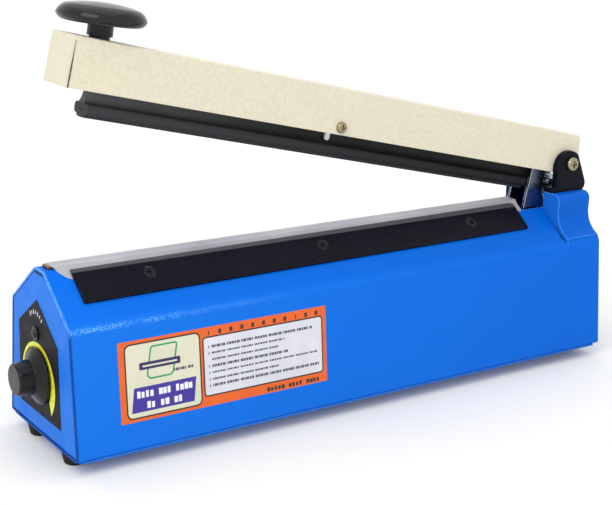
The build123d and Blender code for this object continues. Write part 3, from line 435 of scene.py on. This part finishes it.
def charcoal():
    """Dark grey moulded rubber-like jaw, with painted light: lighter towards the handle end, and the neck far
    lighter where it sits in the arm's shadow.
    """
    f = Finish("charcoal_moulding", tone(40, 40, 43), 0.55, Specular_IOR_Level=0.16)
    # painted light: head and neck lighter towards the handle end, the neck lighter than the head against the arm's
    # shadow
    along = f.span(f.axis(0), -0.17, 0.1)
    head = f.blend(along, tone(58, 58, 61), tone(29, 29, 31))
    neck = f.blend(f.span(f.axis(0), -0.17, -0.03), tone(104, 104, 109), tone(44, 44, 46))
    shade = f.blend(f.span(f.in_arm()[1], -0.0156, -0.0136), head, neck)
    shade = f.blend(f.times(f.noise(60.0, 3.0), 0.3), shade, tone(30, 30, 32))
    gloss = f.span(f.noise(140.0, 3.0), 0.3, 0.7, 0.48, 0.62)
    return f.use(shade, gloss, f.bump(f.noise(1200.0, 3.0), 0.4, 0.00004, f.soft_edges(0.0012)[0]))


def strip_paint():
    """Black paint of the clamp strips, with a painted grey highlight along the rolled upper edge."""
    f = Finish("clamp_strip_paint", tone(13, 12, 24), 0.38, Specular_IOR_Level=0.08)
    inset = f.math("SUBTRACT", shoulder[0] * MM, f.math("ABSOLUTE", f.axis(1)))
    rise = f.math("SUBTRACT", f.axis(2), shoulder[1] * MM)
    climb = f.math("ADD", f.times(inset, slope_up.y), f.times(rise, slope_up.z))
    drift = f.span(f.noise(28.0, 3.0), 0.3, 0.7)
    shade = f.blend(drift, tone(11, 10, 21), tone(16, 15, 27))
    # painted highlight: a grey band along the rolled upper edge
    roll = (strip_high - 4.0) * MM
    shade = f.blend(f.times(f.span(climb, roll, roll + 0.0008), 0.95), shade, tone(76, 77, 82))
    normal, near = f.soft_edges(0.0005)
    rubbed = f.times(f.span(near, 0.03, 0.12), f.span(f.noise(420.0, 4.0), 0.5, 0.62))
    shade = f.blend(rubbed, shade, tone(84, 84, 92))
    gloss = f.span(f.noise(150.0, 4.0), 0.3, 0.7, 0.32, 0.44)
    return f.use(shade, gloss, f.bump(f.noise(1300.0, 3.0), 0.5, 0.00004, normal))


grey_rub = tone(150, 150, 152)
FINISHES = {
    "housing_paint": housing_paint(),
    "cream_paint": cream_paint(),
    "black_metal": common("black_satin_paint", tone(13, 12, 24), 0.38, 1300.0, vary=0.2,
                          wear=tone(84, 84, 92), Specular_IOR_Level=0.08),
    "zinc_steel": zinc("zinc_steel", tone(168, 172, 178), 0.3, cast=tone(176, 190, 208)),
    "black_screw": common("black_oxide_screw", tone(30, 30, 32), 0.34, 700.0, wear=grey_rub, wear_limit=0.3,
                          Metallic=0.6),
    "rubber_black": common("foot_rubber", tone(26, 26, 27), 0.72, 1600.0, 0.00008, 0.7, vary=0.2,
                           Specular_IOR_Level=0.3),
    "silicone_dark": common("silicone_dark", tone(46, 45, 49), 0.6, 1100.0, 0.00006, 0.6, vary=0.2,
                            Specular_IOR_Level=0.3),
    "glossy_black": common("phenolic_black", tone(30, 27, 30), 0.15, 500.0, 0.00003, 0.25, vary=0.15,
                           swing=0.08, Specular_IOR_Level=0.27),
    "matte_black": common("moulded_black", tone(12, 12, 14), 0.24, 1100.0, 0.00004, 0.3, vary=0.2,
                          wear=tone(80, 80, 84), Specular_IOR_Level=0.26),
    "lamp_lens": lamp_finish(),
    "panel_print": print_ink("panel_print", tone(29, 28, 35), 0.5, 0.08),
    "label_print": print_ink("label_orange", tone(218, 95, 34), 0.34),
    "cloth_white": cloth_finish(),
    "element_alloy": zinc("element_alloy", tone(150, 140, 130), 0.34),
    "bed_board": common("bed_board", tone(150, 120, 84), 0.55, 800.0, stretch=(0.2, 1.0, 1.0)),
    "tape_tan": common("tape_tan", tone(176, 142, 104), 0.4, 900.0),
    "brass_part": zinc("brass_part", tone(200, 160, 84), 0.28),
    "nylon_white": common("nylon_white", tone(214, 210, 198), 0.5, 900.0, Specular_IOR_Level=0.4),
    "core_steel": laminations(),
    "coil_wrap": winding(),
    "board_green": board_finish(),
    "part_blue": common("part_blue", tone(24, 64, 150), 0.35, 900.0),
    "capacitor_dark": common("capacitor_dark", tone(26, 30, 46), 0.3, 900.0),
    "lead_red": common("lead_red", tone(170, 24, 20), 0.42, 900.0),
    "spring_steel": zinc("spring_steel", tone(178, 178, 180), 0.24),
}

clamp_paint = strip_paint()
end_plate_paint = plate_paint()
OWN_FINISHES = {
    "control_end_plate": end_plate_paint,
    "hinge_end_plate": end_plate_paint,
    "jaw_holder": charcoal(),
    # lever bracket: plain steel grey with a bluish cast painted in as a reflection of the blue housing, and a
    # painted highlight on its rim
    "lever_bracket": zinc("steel_painted_blue_reflection", tone(92, 104, 122), 0.26, rim=tone(214, 220, 228)),
    "pivot_bolt": zinc("yellow_zinc", tone(158, 148, 120), 0.2),
    "jaw_screw": zinc("yellow_screw", tone(158, 146, 112), 0.24),
    "element_terminals": zinc("dark_terminal", tone(84, 52, 38), 0.3, rim=tone(214, 168, 138)),
    "terminal_nuts": zinc("terminal_nut", tone(92, 66, 54), 0.3),
    "clamp_screws": common("strip_screw", tone(17, 17, 20), 0.34, 700.0, wear=tone(120, 120, 126),
                           wear_limit=0.4, Specular_IOR_Level=0.2),
    "bed_tape": common("scorched_tape", tone(74, 44, 34), 0.4, 900.0, vary=0.3),
}
for part in frame["record"]["subparts"]:
    node = frame["nodes"][part["node"]]
    node.data.materials.clear()
    node.data.materials.append(OWN_FINISHES.get(part["node"], FINISHES[part["material_slot"]]))


# ---------------------------------------------------------------- mesh helpers
def new_piece(name, points, faces, material, smooth=True):
    mesh = bpy.data.meshes.new(name)
    mesh.from_pydata([tuple(p) for p in points], [], faces)
    mesh.update()
    piece = bpy.data.objects.new(name, mesh)
    bpy.context.scene.collection.objects.link(piece)
    for one in material if isinstance(material, (list, tuple)) else [material]:
        mesh.materials.append(one)
    tidy = bmesh.new()
    tidy.from_mesh(mesh)
    bmesh.ops.recalc_face_normals(tidy, faces=tidy.faces)
    tidy.to_mesh(mesh)
    tidy.free()
    if smooth:
        shade_smooth(piece)
    return piece


def shade_smooth(piece, limit=32.0):
    piece.data.shade_smooth()
    piece.data.set_sharp_from_angle(angle=math.radians(limit))


def settle(piece):
    """Applies every modifier on a piece."""
    graph = bpy.context.evaluated_depsgraph_get()
    graph.update()
    done = bpy.data.meshes.new_from_object(piece.evaluated_get(graph))
    piece.modifiers.clear()
    piece.data = done
    return piece


def prism(name, outline, place, low, high, material):
    """Solid between two copies of a closed outline; place(a, b, c) gives a point."""
    count = len(outline)
    points = [place(a, b, low) for a, b in outline] + [place(a, b, high) for a, b in outline]
    faces = [list(range(count)), list(range(2 * count - 1, count - 1, -1))]
    faces += [[i, (i + 1) % count, (i + 1) % count + count, i + count] for i in range(count)]
    return new_piece(name, points, faces, material)


def cut(piece, *tools, operation="DIFFERENCE"):
    """Boolean with each tool in turn; the tools are removed."""
    for tool in tools:
        step = piece.modifiers.new("cut", "BOOLEAN")
        step.operation = operation
        step.solver = "MANIFOLD"
        step.object = tool
        settle(piece)
        bpy.data.objects.remove(tool)
    return piece


def rounded(points, radii, steps=5, closed=False):
    """Polyline with each corner replaced by an arc of its radius."""
    result = []
    count = len(points)
    for i, point in enumerate(points):
        here = Vector(point)
        if (not closed and i in (0, count - 1)) or radii[i] <= 0:
            result.append(tuple(here))
            continue
        before = Vector(points[i - 1]) - here
        after = Vector(points[(i + 1) % count]) - here
        half = before.angle(after) / 2
        reach = min(radii[i] / math.tan(half), before.length * 0.49, after.length * 0.49)
        radius = reach * math.tan(half)
        first, last = before.normalized() * reach, after.normalized() * reach
        middle = (before.normalized() + after.normalized()).normalized() * (radius / math.sin(half))
        spoke, last_spoke = first - middle, last - middle
        for k in range(steps + 1):
            turned = spoke.slerp(last_spoke, k / steps) if spoke.angle(last_spoke) > 1e-4 else spoke
            result.append(tuple(here + middle + turned.normalized() * radius))
    return result


def arc_points(a, b, c, steps):
    """Points on the circle through three points, from a to c."""
    (ax, ay), (bx, by), (cx, cy) = a, b, c
    aa, bb, cc = (p[0] * p[0] + p[1] * p[1] for p in (a, b, c))
    d = 2 * (ax * (by - cy) + bx * (cy - ay) + cx * (ay - by))
    centre = Vector((
        (aa * (by - cy) + bb * (cy - ay) + cc * (ay - by)) / d,
        (aa * (cx - bx) + bb * (ax - cx) + cc * (bx - ax)) / d,
    ))
    first, last = Vector(a) - centre, Vector(c) - centre
    radius = first.length
    return [tuple(centre + first.slerp(last, k / steps).normalized() * radius) for k in range(steps + 1)]


def ring(centre, radius, start, stop, steps):
    """Points on a circle from one angle to another, in degrees."""
    return [
        (centre[0] + radius * math.cos(math.radians(start + (stop - start) * k / steps)),
         centre[1] + radius * math.sin(math.radians(start + (stop - start) * k / steps)))
        for k in range(steps + 1)
    ]


def inward(points, distance):
    """Closed counter-clockwise outline moved inward by a distance."""
    result = []
    count = len(points)
    for i in range(count):
        before = (Vector(points[i]) - Vector(points[i - 1])).normalized()
        after = (Vector(points[(i + 1) % count]) - Vector(points[i])).normalized()
        side_a, side_b = Vector((-before.y, before.x)), Vector((-after.y, after.x))
        middle = side_a + side_b
        result.append(tuple(Vector(points[i]) + middle * (distance / max(0.3, middle.dot(side_a)))))
    return result


def along_x(a, b, c):
    """Outline in (y, z), extruded along X; millimetres in, metres out."""
    return Vector((c, a, b)) * MM


def body_part(piece, body, slot, *nodes):
    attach(piece, body)
    if nodes:
        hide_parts(*nodes)
    return piece


# ---------------------------------------------------------------- housing sheet metal
def on_slope(side):
    """Point at x, distance up the slope and height above it; side -1 is the front."""
    start = Vector((0, -shoulder[0], shoulder[1]))

    def place(x, t, n):
        p = Vector((x, 0, 0)) + start + slope_up * t + slope_out * n
        return Vector((p.x, p.y * -side, p.z)) * MM

    return place


def housing():
    """Folded shell: rounded bends, waisted hinge tower with open seams, lever slot."""
    right_half = [(wall_y, foot_z), shoulder, ridge]
    outer = right_half + [(-y, z) for y, z in reversed(right_half)]
    bends = [1.6, 2.6, 1.8, 1.8, 2.6, 1.6]
    paint = FINISHES["housing_paint"]
    shell = prism("housing_skin", rounded(outer, bends, 6, True), along_x, left_x, right_x, paint)
    hollow = rounded(inward(outer, sheet_mm), [0.6, 1.4, 0.7, 0.7, 1.4, 0.6], 4, True)
    curve = arc_points((37.5, 87.0), (29.7, 93.6), (26.8, 103.0), 10)
    lip = arc_points((27.1, 110.0), (25.58, 113.68), (21.9, 115.2), 10)
    tower_half = [(wall_y, foot_z), (39.6, 82.7), (38.9, 84.3), *curve, *lip]
    tower = tower_half + [(-y, z) for y, z in reversed(tower_half)]
    tower_bends = [1.6, 1.6, 1.0] + [0.0] * (len(tower_half) - 3)
    tower_round = rounded(tower, tower_bends + tower_bends[::-1], 6, True)
    block = prism("tower", tower_round, along_x, tower_x, right_x, paint)
    cut(shell, block, operation="UNION")
    tower_hollow = inward(tower, sheet_mm + 0.03)
    tower_hollow[0], tower_hollow[-1] = (41.5, 50.0), (-41.5, 50.0)
    box = [(-34.5, foot_z - 4), (34.5, foot_z - 4), (34.5, foot_z + 4), (-34.5, foot_z + 4)]
    slot = [(-11.5, 92.0), (11.5, 92.0), (11.5, 118.0), (-11.5, 118.0)]
    tools = [
        prism("roof_hollow", hollow, along_x, left_x - 1, right_x + 1, paint),
        prism("tower_hollow", tower_hollow, along_x, tower_x + sheet_mm, right_x + 2, paint),
        prism("open_bottom", box, along_x, left_x - 1, right_x + 1, paint),
        prism("lever_slot", slot, along_x, slot_x, tower_x + 8, paint),
    ]
    for side in (-1, 1):
        # the tower is a separate fold: a tapering slit stays open where it meets the slope
        gap = [(0.02, 2.8), (0.02, 36.0), (-0.5, 36.0), (-0.9, 24.0), (-1.9, 12.0), (-2.1, 7.0), (-0.9, 3.6)]
        seam = [(tower_x + x, t) for x, t in gap]
        tools.append(prism("side_slit", seam, on_slope(side), -3.0, 3.0, paint))
    # the rear half of the tower's inner face is open behind the lever
    opening = [(10.0, 97.5), (25.5, 97.5), (25.5, 110.4), (22.0, 113.6), (10.0, 113.6)]
    tools.append(prism("rear_opening", opening, along_x, tower_x - 0.5, tower_x + 3, paint))
    cut(shell, *tools)
    shade_smooth(shell, 28)
    return body_part(shell, "base", "housing_paint", "housing_shell")


housing()

# ---------------------------------------------------------------- slopes, clamp strips and cloth
def countersink(place, x):
    """Tool for one screw hole: a bore that opens into a cone."""
    steps = 32
    levels = [(2.2, -0.5), (2.2, 0.0), (3.98, 1.8), (3.98, 2.6)]
    points, faces = [], []
    for radius, n in levels:
        points += [place(a, t, n) for a, t in ring((x, clamp_t), radius, 0, 360, steps)[:-1]]
    for start in range(0, len(points) - steps, steps):
        for k in range(steps):
            j = (k + 1) % steps
            faces.append([start + k, start + j, start + steps + j, start + steps + k])
    faces += [list(range(steps)), list(range(len(points) - steps, len(points)))]
    return new_piece("cone", points, faces, clamp_paint)


def clamp_strip(name, side, node):
    """Black strip with a rolled upper edge, rounded corners and countersunk holes."""
    place = on_slope(side)
    corners = [
        (strip_left, strip_low - 2 * strip_lean),
        (strip_right - 1.0, strip_low + 0.4),
        (strip_right - 1.0, strip_high + strip_lean),
        (strip_left, strip_high - 0.4),
    ]
    outline = rounded(corners, [0.8, 0.8, 3.2, 0.8], 6, True)
    strip = prism(name, outline, place, 0.3, 1.8, clamp_paint)
    work = bmesh.new()
    work.from_mesh(strip.data)

    def height(vertex):
        local = Vector((0, vertex.co.y * -side, vertex.co.z)) / MM - Vector((0, -shoulder[0], shoulder[1]))
        return local.dot(slope_up), local.dot(slope_out)

    upper = [e for e in work.edges if all(height(v)[1] > 1.5 for v in e.verts)]
    rolled = [e for e in upper if all(height(v)[0] > strip_high - 0.6 for v in e.verts)]
    bmesh.ops.bevel(work, geom=rolled, offset=1.3 * MM, segments=5, profile=0.5, affect="EDGES")
    upper = [e for e in work.edges if all(height(v)[1] > 1.75 for v in e.verts)]
    sharp = [e for e in upper if not e.is_boundary and e.calc_face_angle(0) > 1.0]
    bmesh.ops.bevel(work, geom=sharp, offset=0.3 * MM, segments=2, profile=0.5, affect="EDGES")
    work.to_mesh(strip.data)
    work.free()
    cut(strip, *(countersink(place, x) for x in clamp_x))
    shade_smooth(strip, 30)
    return body_part(strip, "base", "black_metal", node)


clamp_strip("clamp_front", -1, "clamp_strip_front")
clamp_strip("clamp_rear", 1, "clamp_strip_rear")

def cloth_path():
    """Half of the cloth's cross-section from the middle of the bed down the slope."""
    points = [(0.0, 110.46), (4.7, 110.46)]
    points += arc_points((4.7, 110.46), (5.15, 110.27), (5.42, 109.9), 4)[1:]
    points += [(5.7, 109.4)]
    tail = Vector((shoulder[0], shoulder[1]))
    up = Vector((-slope_up.y, slope_up.z))
    out = Vector((-slope_out.y, slope_out.z))
    for t in (41.0, 39.0, 36.5, 34.6):
        points.append(tuple(tail + up * t + out * 0.16))
    return [Vector(p) for p in points]


def release_cloth():
    """Coated cloth stretched over the element, its tails held under the clamp strips."""
    path = cloth_path()
    reach = [0.0]
    for a, b in zip(path, path[1:]):
        reach.append(reach[-1] + (b - a).length)
    total = reach[-1]

    def at(distance):
        side = -1 if distance < 0 else 1
        d = min(abs(distance), total)
        k = max(i for i in range(len(reach) - 1) if reach[i] <= d + 1e-9)
        share = (d - reach[k]) / (reach[k + 1] - reach[k])
        p = path[k].lerp(path[k + 1], share)
        run = (path[k + 1] - path[k]).normalized()
        return p.x * side, p.y, Vector((-run.y * -side, run.x))

    columns, rows = 330, 44
    # the free corners at the control end are trimmed on a curve
    trim_long, trim_half = 9.6, 4.2
    points, faces = [], []
    for i in range(columns + 1):
        x = cloth_left + (cloth_right - cloth_left) * i / columns
        trim = math.sin(min(1.0, (x - cloth_left) / trim_long) * math.pi / 2) ** 0.85
        length = trim_half + (total - trim_half) * trim
        held = min(1.0, max(0.0, (x - strip_left) / 3.0))
        loose = max(0.0, (strip_left - x) / (strip_left - cloth_left))
        for j in range(rows + 1):
            distance = (2 * j / rows - 1) * length
            y, z, out = at(distance)
            edge = min(1.0, max(0.0, (abs(distance) - 5.0) / 1.6))
            hidden = min(1.0, max(0.0, abs(distance) - 8.2))
            ripple = noise.noise(Vector((x * 0.055, distance * 0.16, 3.1)))
            fine = noise.noise(Vector((x * 0.24, distance * 0.3, 8.4)))
            lift = (0.09 * ripple + 0.05 * fine) * (1 - edge) + (0.30 * ripple + 0.16 * fine + 0.12) * edge
            lift *= 1 - hidden * held
            lift += loose * edge * 0.5
            # the element shows as a low ridge along the middle
            lift += 0.07 * math.exp(-(distance / 1.5) ** 2)
            if abs(distance) < 4.6:
                lift = min(lift, 0.12)
            points.append((Vector((x, y, z)) + Vector((0, out.x, out.y)) * lift) * MM)
    for i in range(columns):
        for j in range(rows):
            a = i * (rows + 1) + j
            faces.append([a, a + 1, a + rows + 2, a + rows + 1])
    sheet = new_piece("release_sheet", points, faces, FINISHES["cloth_white"])
    solid = sheet.modifiers.new("thick", "SOLIDIFY")
    solid.thickness = cloth_thick * MM
    solid.offset = -1.0 if sheet.data.polygons[len(faces) // 2].normal.z > 0 else 1.0
    settle(sheet)
    shade_smooth(sheet, 50)
    return body_part(sheet, "base", "cloth_white", "release_cloth")


release_cloth()


# ---------------------------------------------------------------- printed pieces
class Print:
    """Thin raised areas of ink on a flat plate, each a closed solid."""

    def __init__(self, place, base):
        self.place, self.base = place, base
        self.points, self.faces, self.inks, self.index = [], [], [], []

    def area(self, outline, ink, level):
        if ink not in self.inks:
            self.inks.append(ink)
        start, count = len(self.points), len(outline)
        for height in (self.base + 0.03 * (level - 1), self.base + 0.03 * level):
            self.points += [self.place(a, b, height) for a, b in outline]
        faces = [list(range(start, start + count)), list(range(start + 2 * count - 1, start + count - 1, -1))]
        faces += [[start + i, start + (i + 1) % count, start + count + (i + 1) % count, start + count + i]
                  for i in range(count)]
        self.faces += faces
        self.index += [self.inks.index(ink)] * len(faces)

    def bar(self, left, bottom, right, top, ink, level, radius=0.0):
        corners = [(left, bottom), (right, bottom), (right, top), (left, top)]
        self.area(rounded(corners, [radius] * 4, 6, True) if radius else corners, ink, level)

    def stroke(self, path, width, ink, level, closed=False):
        """Line of a given width along a path, one solid."""
        count = len(path)
        sides = ([], [])
        for i in range(count):
            a = Vector(path[i - 1] if (i or closed) else path[i])
            b = Vector(path[(i + 1) % count] if (i < count - 1 or closed) else path[i])
            run = (b - a).normalized()
            across = Vector((-run.y, run.x)) * width / 2
            sides[0].append(tuple(Vector(path[i]) + across))
            sides[1].append(tuple(Vector(path[i]) - across))
        spans = count if closed else count - 1
        for i in range(spans):
            j = (i + 1) % count
            self.area([sides[0][i], sides[0][j], sides[1][j], sides[1][i]], ink, level)

    def finish(self, name):
        piece = new_piece(name, self.points, self.faces, self.inks, smooth=False)
        for polygon, slot in zip(piece.data.polygons, self.index):
            polygon.material_index = slot
        return piece


ink_dark = print_ink("ink_dark", tone(58, 46, 40))
ink_cream = print_ink("ink_cream", tone(208, 208, 185))
ink_white = print_ink("ink_white", tone(206, 207, 217))
ink_purple = print_ink("ink_purple", tone(62, 49, 146))
ink_green = print_ink("ink_green", tone(48, 150, 96))
ink_grey = print_ink("ink_grey", tone(86, 86, 98))
ink_navy = print_ink("ink_navy", tone(52, 44, 92))
ink_pale = print_ink("ink_pale", tone(226, 226, 240))
ink_yellow = print_ink("ink_yellow", tone(216, 218, 44))
ink_light = print_ink("ink_light", tone(206, 204, 204))

wall_up = Vector((0, wall_y - shoulder[0], shoulder[1] - foot_z)).normalized()
wall_out = Vector((0, -wall_up.z, wall_up.y))
label_left, label_low = -169.1, 16.4
label_wide, label_high = 139.2, 47.1


def on_label(a, b, n):
    start = Vector((label_left, -wall_y, foot_z)) + wall_up * label_low
    return (start + Vector((a, 0, 0)) + wall_up * b + wall_out * n) * MM


def dashes(sheet, left, right, middle, height, ink, level, seed):
    """A row of uneven dashes with no letters in it, grouped in fives."""
    word_gap, dash_gap = 1.1, 0.34
    x = left
    k = 0
    while x < right - 0.8:
        wide = 1.45 + 0.75 * math.sin(seed * 12.9898 + k * 78.233)
        tall = height * (0.78 + 0.22 * math.sin(seed * 4.1 + k * 37.7))
        stop = min(x + wide, right)
        sheet.bar(x, middle - tall / 2, stop, middle + tall / 2, ink, level)
        x = stop + (word_gap if k % 5 == 4 else dash_gap)
        k += 1


def blocks(sheet, left, right, middle, height, ink, level, count):
    """A row of upright blocks, like a line of bold print with nothing to read."""
    pitch = (right - left) / count
    for k in range(count):
        if k in (count // 3, 2 * count // 3):
            continue
        x = left + pitch * k
        wide = pitch * (0.76 + 0.12 * math.sin(5.3 * k))
        tall = height * (0.93 + 0.07 * math.cos(9.1 * k))
        sheet.bar(x, middle - height / 2, x + wide, middle - height / 2 + tall, ink, level, 0.25)


def instruction_label():
    """Orange label with a cream picture box and a white box of ruled dashes."""
    orange = FINISHES["label_print"]
    sheet = Print(on_label, 0.0)
    plate = rounded([(0, 0), (label_wide, 0), (label_wide, label_high), (0, label_high)], [0.5] * 4, 3, True)
    sheet.area(plate, orange, 1)
    sheet.base = 0.03
    sheet.bar(3.6, 1.7, 52.0, 45.3, ink_dark, 1, 3.7)
    sheet.bar(4.5, 2.6, 51.1, 44.4, ink_cream, 2, 2.9)
    sheet.bar(53.3, 5.8, 136.7, 41.5, ink_dark, 1, 2.3)
    sheet.bar(54.2, 6.7, 135.8, 40.6, ink_white, 2, 1.5)
    sheet.area([(6.7, 5.2), (46.6, 5.2), (48.4, 19.6), (8.7, 19.6)], ink_purple, 3)
    blocks(sheet, 10.4, 46.0, 15.4, 4.0, ink_pale, 4, 13)
    blocks(sheet, 16.4, 39.4, 8.8, 4.0, ink_pale, 4, 8)
    # pictogram: a bag standing open under a sealing bar
    bag = rounded([(17.0, 23.8), (33.5, 23.8), (37.0, 42.0), (20.5, 42.0)], [2.6, 2.6, 1.2, 1.2], 5, True)
    sheet.stroke(bag, 1.0, ink_green, 3, closed=True)
    sheet.bar(12.6, 29.4, 38.6, 33.6, ink_navy, 4, 0.7)
    sheet.bar(14.6, 30.9, 36.6, 31.9, ink_cream, 5, 0.3)
    dashes(sheet, 34.2, 47.6, 26.1, 1.7, ink_grey, 3, 3.3)
    for i in range(11):
        x = 57.7 + 7.46 * i
        wide = 0.35 if i in (0, 8) else 1.0
        sheet.bar(x - wide, 42.2, x + wide, 44.9, ink_dark, 1, 0.2)
    blocks(sheet, 96.0, 134.0, 2.3, 2.6, ink_dark, 1, 15)
    # seven rows: height of each, and where it stops
    heights = (35.35, 31.5, 27.6, 23.7, 19.85, 15.85, 12.1)
    stops = (129.0, 109.6, 105.2, 111.5, 133.4, 104.4, 133.4)
    for i, (v, stop) in enumerate(zip(heights, stops)):
        if i != 2:
            sheet.bar(57.1, v - 0.8, 57.7, v + 0.8, ink_grey, 3)
        dashes(sheet, 59.3, stop, v, 1.6, ink_grey, 3, 5.0 + i)
    return body_part(sheet.finish("label_sheet"), "base", "label_print", "instruction_label")


instruction_label()

def on_panel(a, b, n):
    """Point on the control panel: a to the front-right (-Y), b up, n out of the end plate."""
    return Vector((left_x - n, -a, b)) * MM


def control_panel():
    """Dark overlay with a widening yellow time scale and plain tick marks."""
    dark = FINISHES["panel_print"]
    panel = Print(on_panel, 0.0)
    corners = [(-31.0, 21.0), (26.0, 21.0), (24.4, 69.0), (-3.2, 90.2), (-30.4, 70.8)]
    panel.area(rounded(corners, [0.8] * 5, 4, True), dark, 5)
    panel.base = 0.15
    outer = ring((-4.0, 41.0), 23.0, 165.0, -42.0, 60)
    inner = ring((-6.2, 41.4), 19.2, -27.0, 163.0, 60)
    count = len(outer)
    for k in range(count - 1):
        panel.area([outer[k], outer[k + 1], inner[count - 2 - k], inner[count - 1 - k]], ink_yellow, 1)
    for k, angle in enumerate((150, 128, 104, 80, 56, 32, 8, -14)):
        a = math.radians(angle)
        for lane, size in ((22.0, 0.5), (20.6, 0.9)):
            x, z = -4.0 + lane * math.cos(a), 41.0 + lane * math.sin(a)
            panel.bar(x - size / 3, z - size / 2, x + size / 3, z + size / 2, ink_dark, 2)
    # seven slanted marks on an arc above the lamp
    for k in range(7):
        a = math.radians(50 + 13.2 * k)
        across = Vector((math.cos(a), math.sin(a)))
        long = across * (1.0 if k % 2 else 1.35)
        wide = Vector((-across.y, across.x)) * 0.45
        centre = Vector((-lamp_y, lamp_z)) + across * 12.4
        mark = [centre - long - wide, centre - long + wide, centre + long + wide, centre + long - wide]
        panel.area([tuple(p) for p in mark], ink_light, 1)
    return body_part(panel.finish("panel_overlay"), "base", "panel_print", "panel_label")


control_panel()

# ---------------------------------------------------------------- arm pieces
raised = Matrix.Translation(hinge["pos_m"]) @ Matrix.Rotation(arm_turn, 4, "Y")


def on_arm(a, b, c):
    """Point given across, above and along the closed arm, in millimetres from its pivot."""
    return raised @ (Vector((c, a, b)) * MM)


def rubber():
    """Crowned silicone strip with a softly rounded pressing face."""
    half = [(0.0, -23.75), (2.6, -23.67), (4.2, -23.35), (4.9, -22.6), (5.0, -21.8), (5.0, -19.25)]
    outline = half + [(-y, z) for y, z in reversed(half[1:])]
    # places along the strip, and how far the pressing face is eased there
    stations = [(-364.5, 0.35), (-364.2, 0.08), (-363.5, 0.0)]
    stations += [(-363.5 + 34.0 * k, 0.0) for k in range(1, 10)]
    stations += [(-38.0, 0.0), (-29.0, 0.0), (-28.3, 0.08), (-28.0, 0.35)]
    points, faces = [], []
    size = len(outline)
    for x, trim in stations:
        for y, z in outline:
            lift = trim if z < -20 else 0.0
            points.append(on_arm(y * (1 - trim * 0.06), z + lift, x))
    for i in range(len(stations) - 1):
        for k in range(size):
            j = (k + 1) % size
            faces.append([i * size + k, i * size + j, (i + 1) * size + j, (i + 1) * size + k])
    faces += [list(range(size)), list(range(len(points) - size, len(points)))]
    strip = new_piece("silicone_strip", points, faces, FINISHES["silicone_dark"])
    return body_part(strip, "arm", "silicone_dark", "rubber_strip")


rubber()


def guide_tab():
    """Near-white rounded tab that fills the oval guide slot in the jaw's neck, painted bright even under the arm's
    shadow.
    """
    half, low, high, middle = 1.65, -13.4, -8.0, -199.2
    pale = common("near_white_tab", tone(248, 248, 250), 0.45, 700.0, vary=0.03, Specular_IOR_Level=0.4)
    rounded_end = ring((middle, low + half), half, 180.0, 360.0, 10)
    outline = [(middle - half, high), *rounded_end, (middle + half, high)]
    tab = prism("guide_tab", outline, lambda c, b, a: on_arm(a, b, c), -4.2, -2.45, pale)
    return body_part(tab, "arm", "nylon_white")


guide_tab()


# ---------------------------------------------------------------- floor and light
def stage():
    """White table top, three large soft lights and an even white sky."""
    corners = [(-9, -9, 0), (9, -9, 0), (9, 9, 0), (-9, 9, 0)]
    floor = new_piece("floor", corners, [[0, 1, 2, 3]], [], smooth=False)
    # painted shade: the floor is greyer near the machine, evening out the lamps' brighter pool there, and a faint
    # painted glow keeps the far floor white
    f = Finish("floor_white", (0.8, 0.8, 0.8), 0.6, Specular_IOR_Level=0.05, Emission_Color=(1, 1, 1, 1),
               Emission_Strength=0.05)
    flat = f.math("SQRT", f.math("ADD", f.math("POWER", f.axis(0), 2.0), f.math("POWER", f.axis(1), 2.0)))
    pale = f.blend(f.span(flat, 0.25, 2.2), (0.77, 0.76, 0.73), (0.95, 0.95, 0.95))
    f.use(f.blend(f.math("MULTIPLY", f.noise(3.0), 0.1), pale, (0.72, 0.72, 0.725)))
    floor.data.materials.append(f.mat)
    for name, spot, size, power in (
        ("key", (-1.5, -0.9, 1.5), 1.4, 20.0),
        ("top", (0.1, 0.2, 2.3), 2.4, 14.0),
        ("fill", (1.4, -1.6, 0.9), 1.6, 1.0),
    ):
        data = bpy.data.lights.new(name, "AREA")
        data.shape = "SQUARE"
        data.size = size
        data.energy = power
        light = bpy.data.objects.new(name, data)
        bpy.context.scene.collection.objects.link(light)
        light.location = spot
        light.rotation_mode = "QUATERNION"
        light.rotation_quaternion = (Vector((0, 0, 0.08)) - Vector(spot)).to_track_quat("-Z", "Y")
    world = bpy.data.worlds.new("studio")
    world.use_nodes = True
    sky = world.node_tree.nodes["Background"]
    sky.inputs[0].default_value = (1.0, 1.0, 1.0, 1)
    sky.inputs[1].default_value = 1.0
    bpy.context.scene.world = world
    bpy.context.scene.view_settings.view_transform = "Standard"


stage()
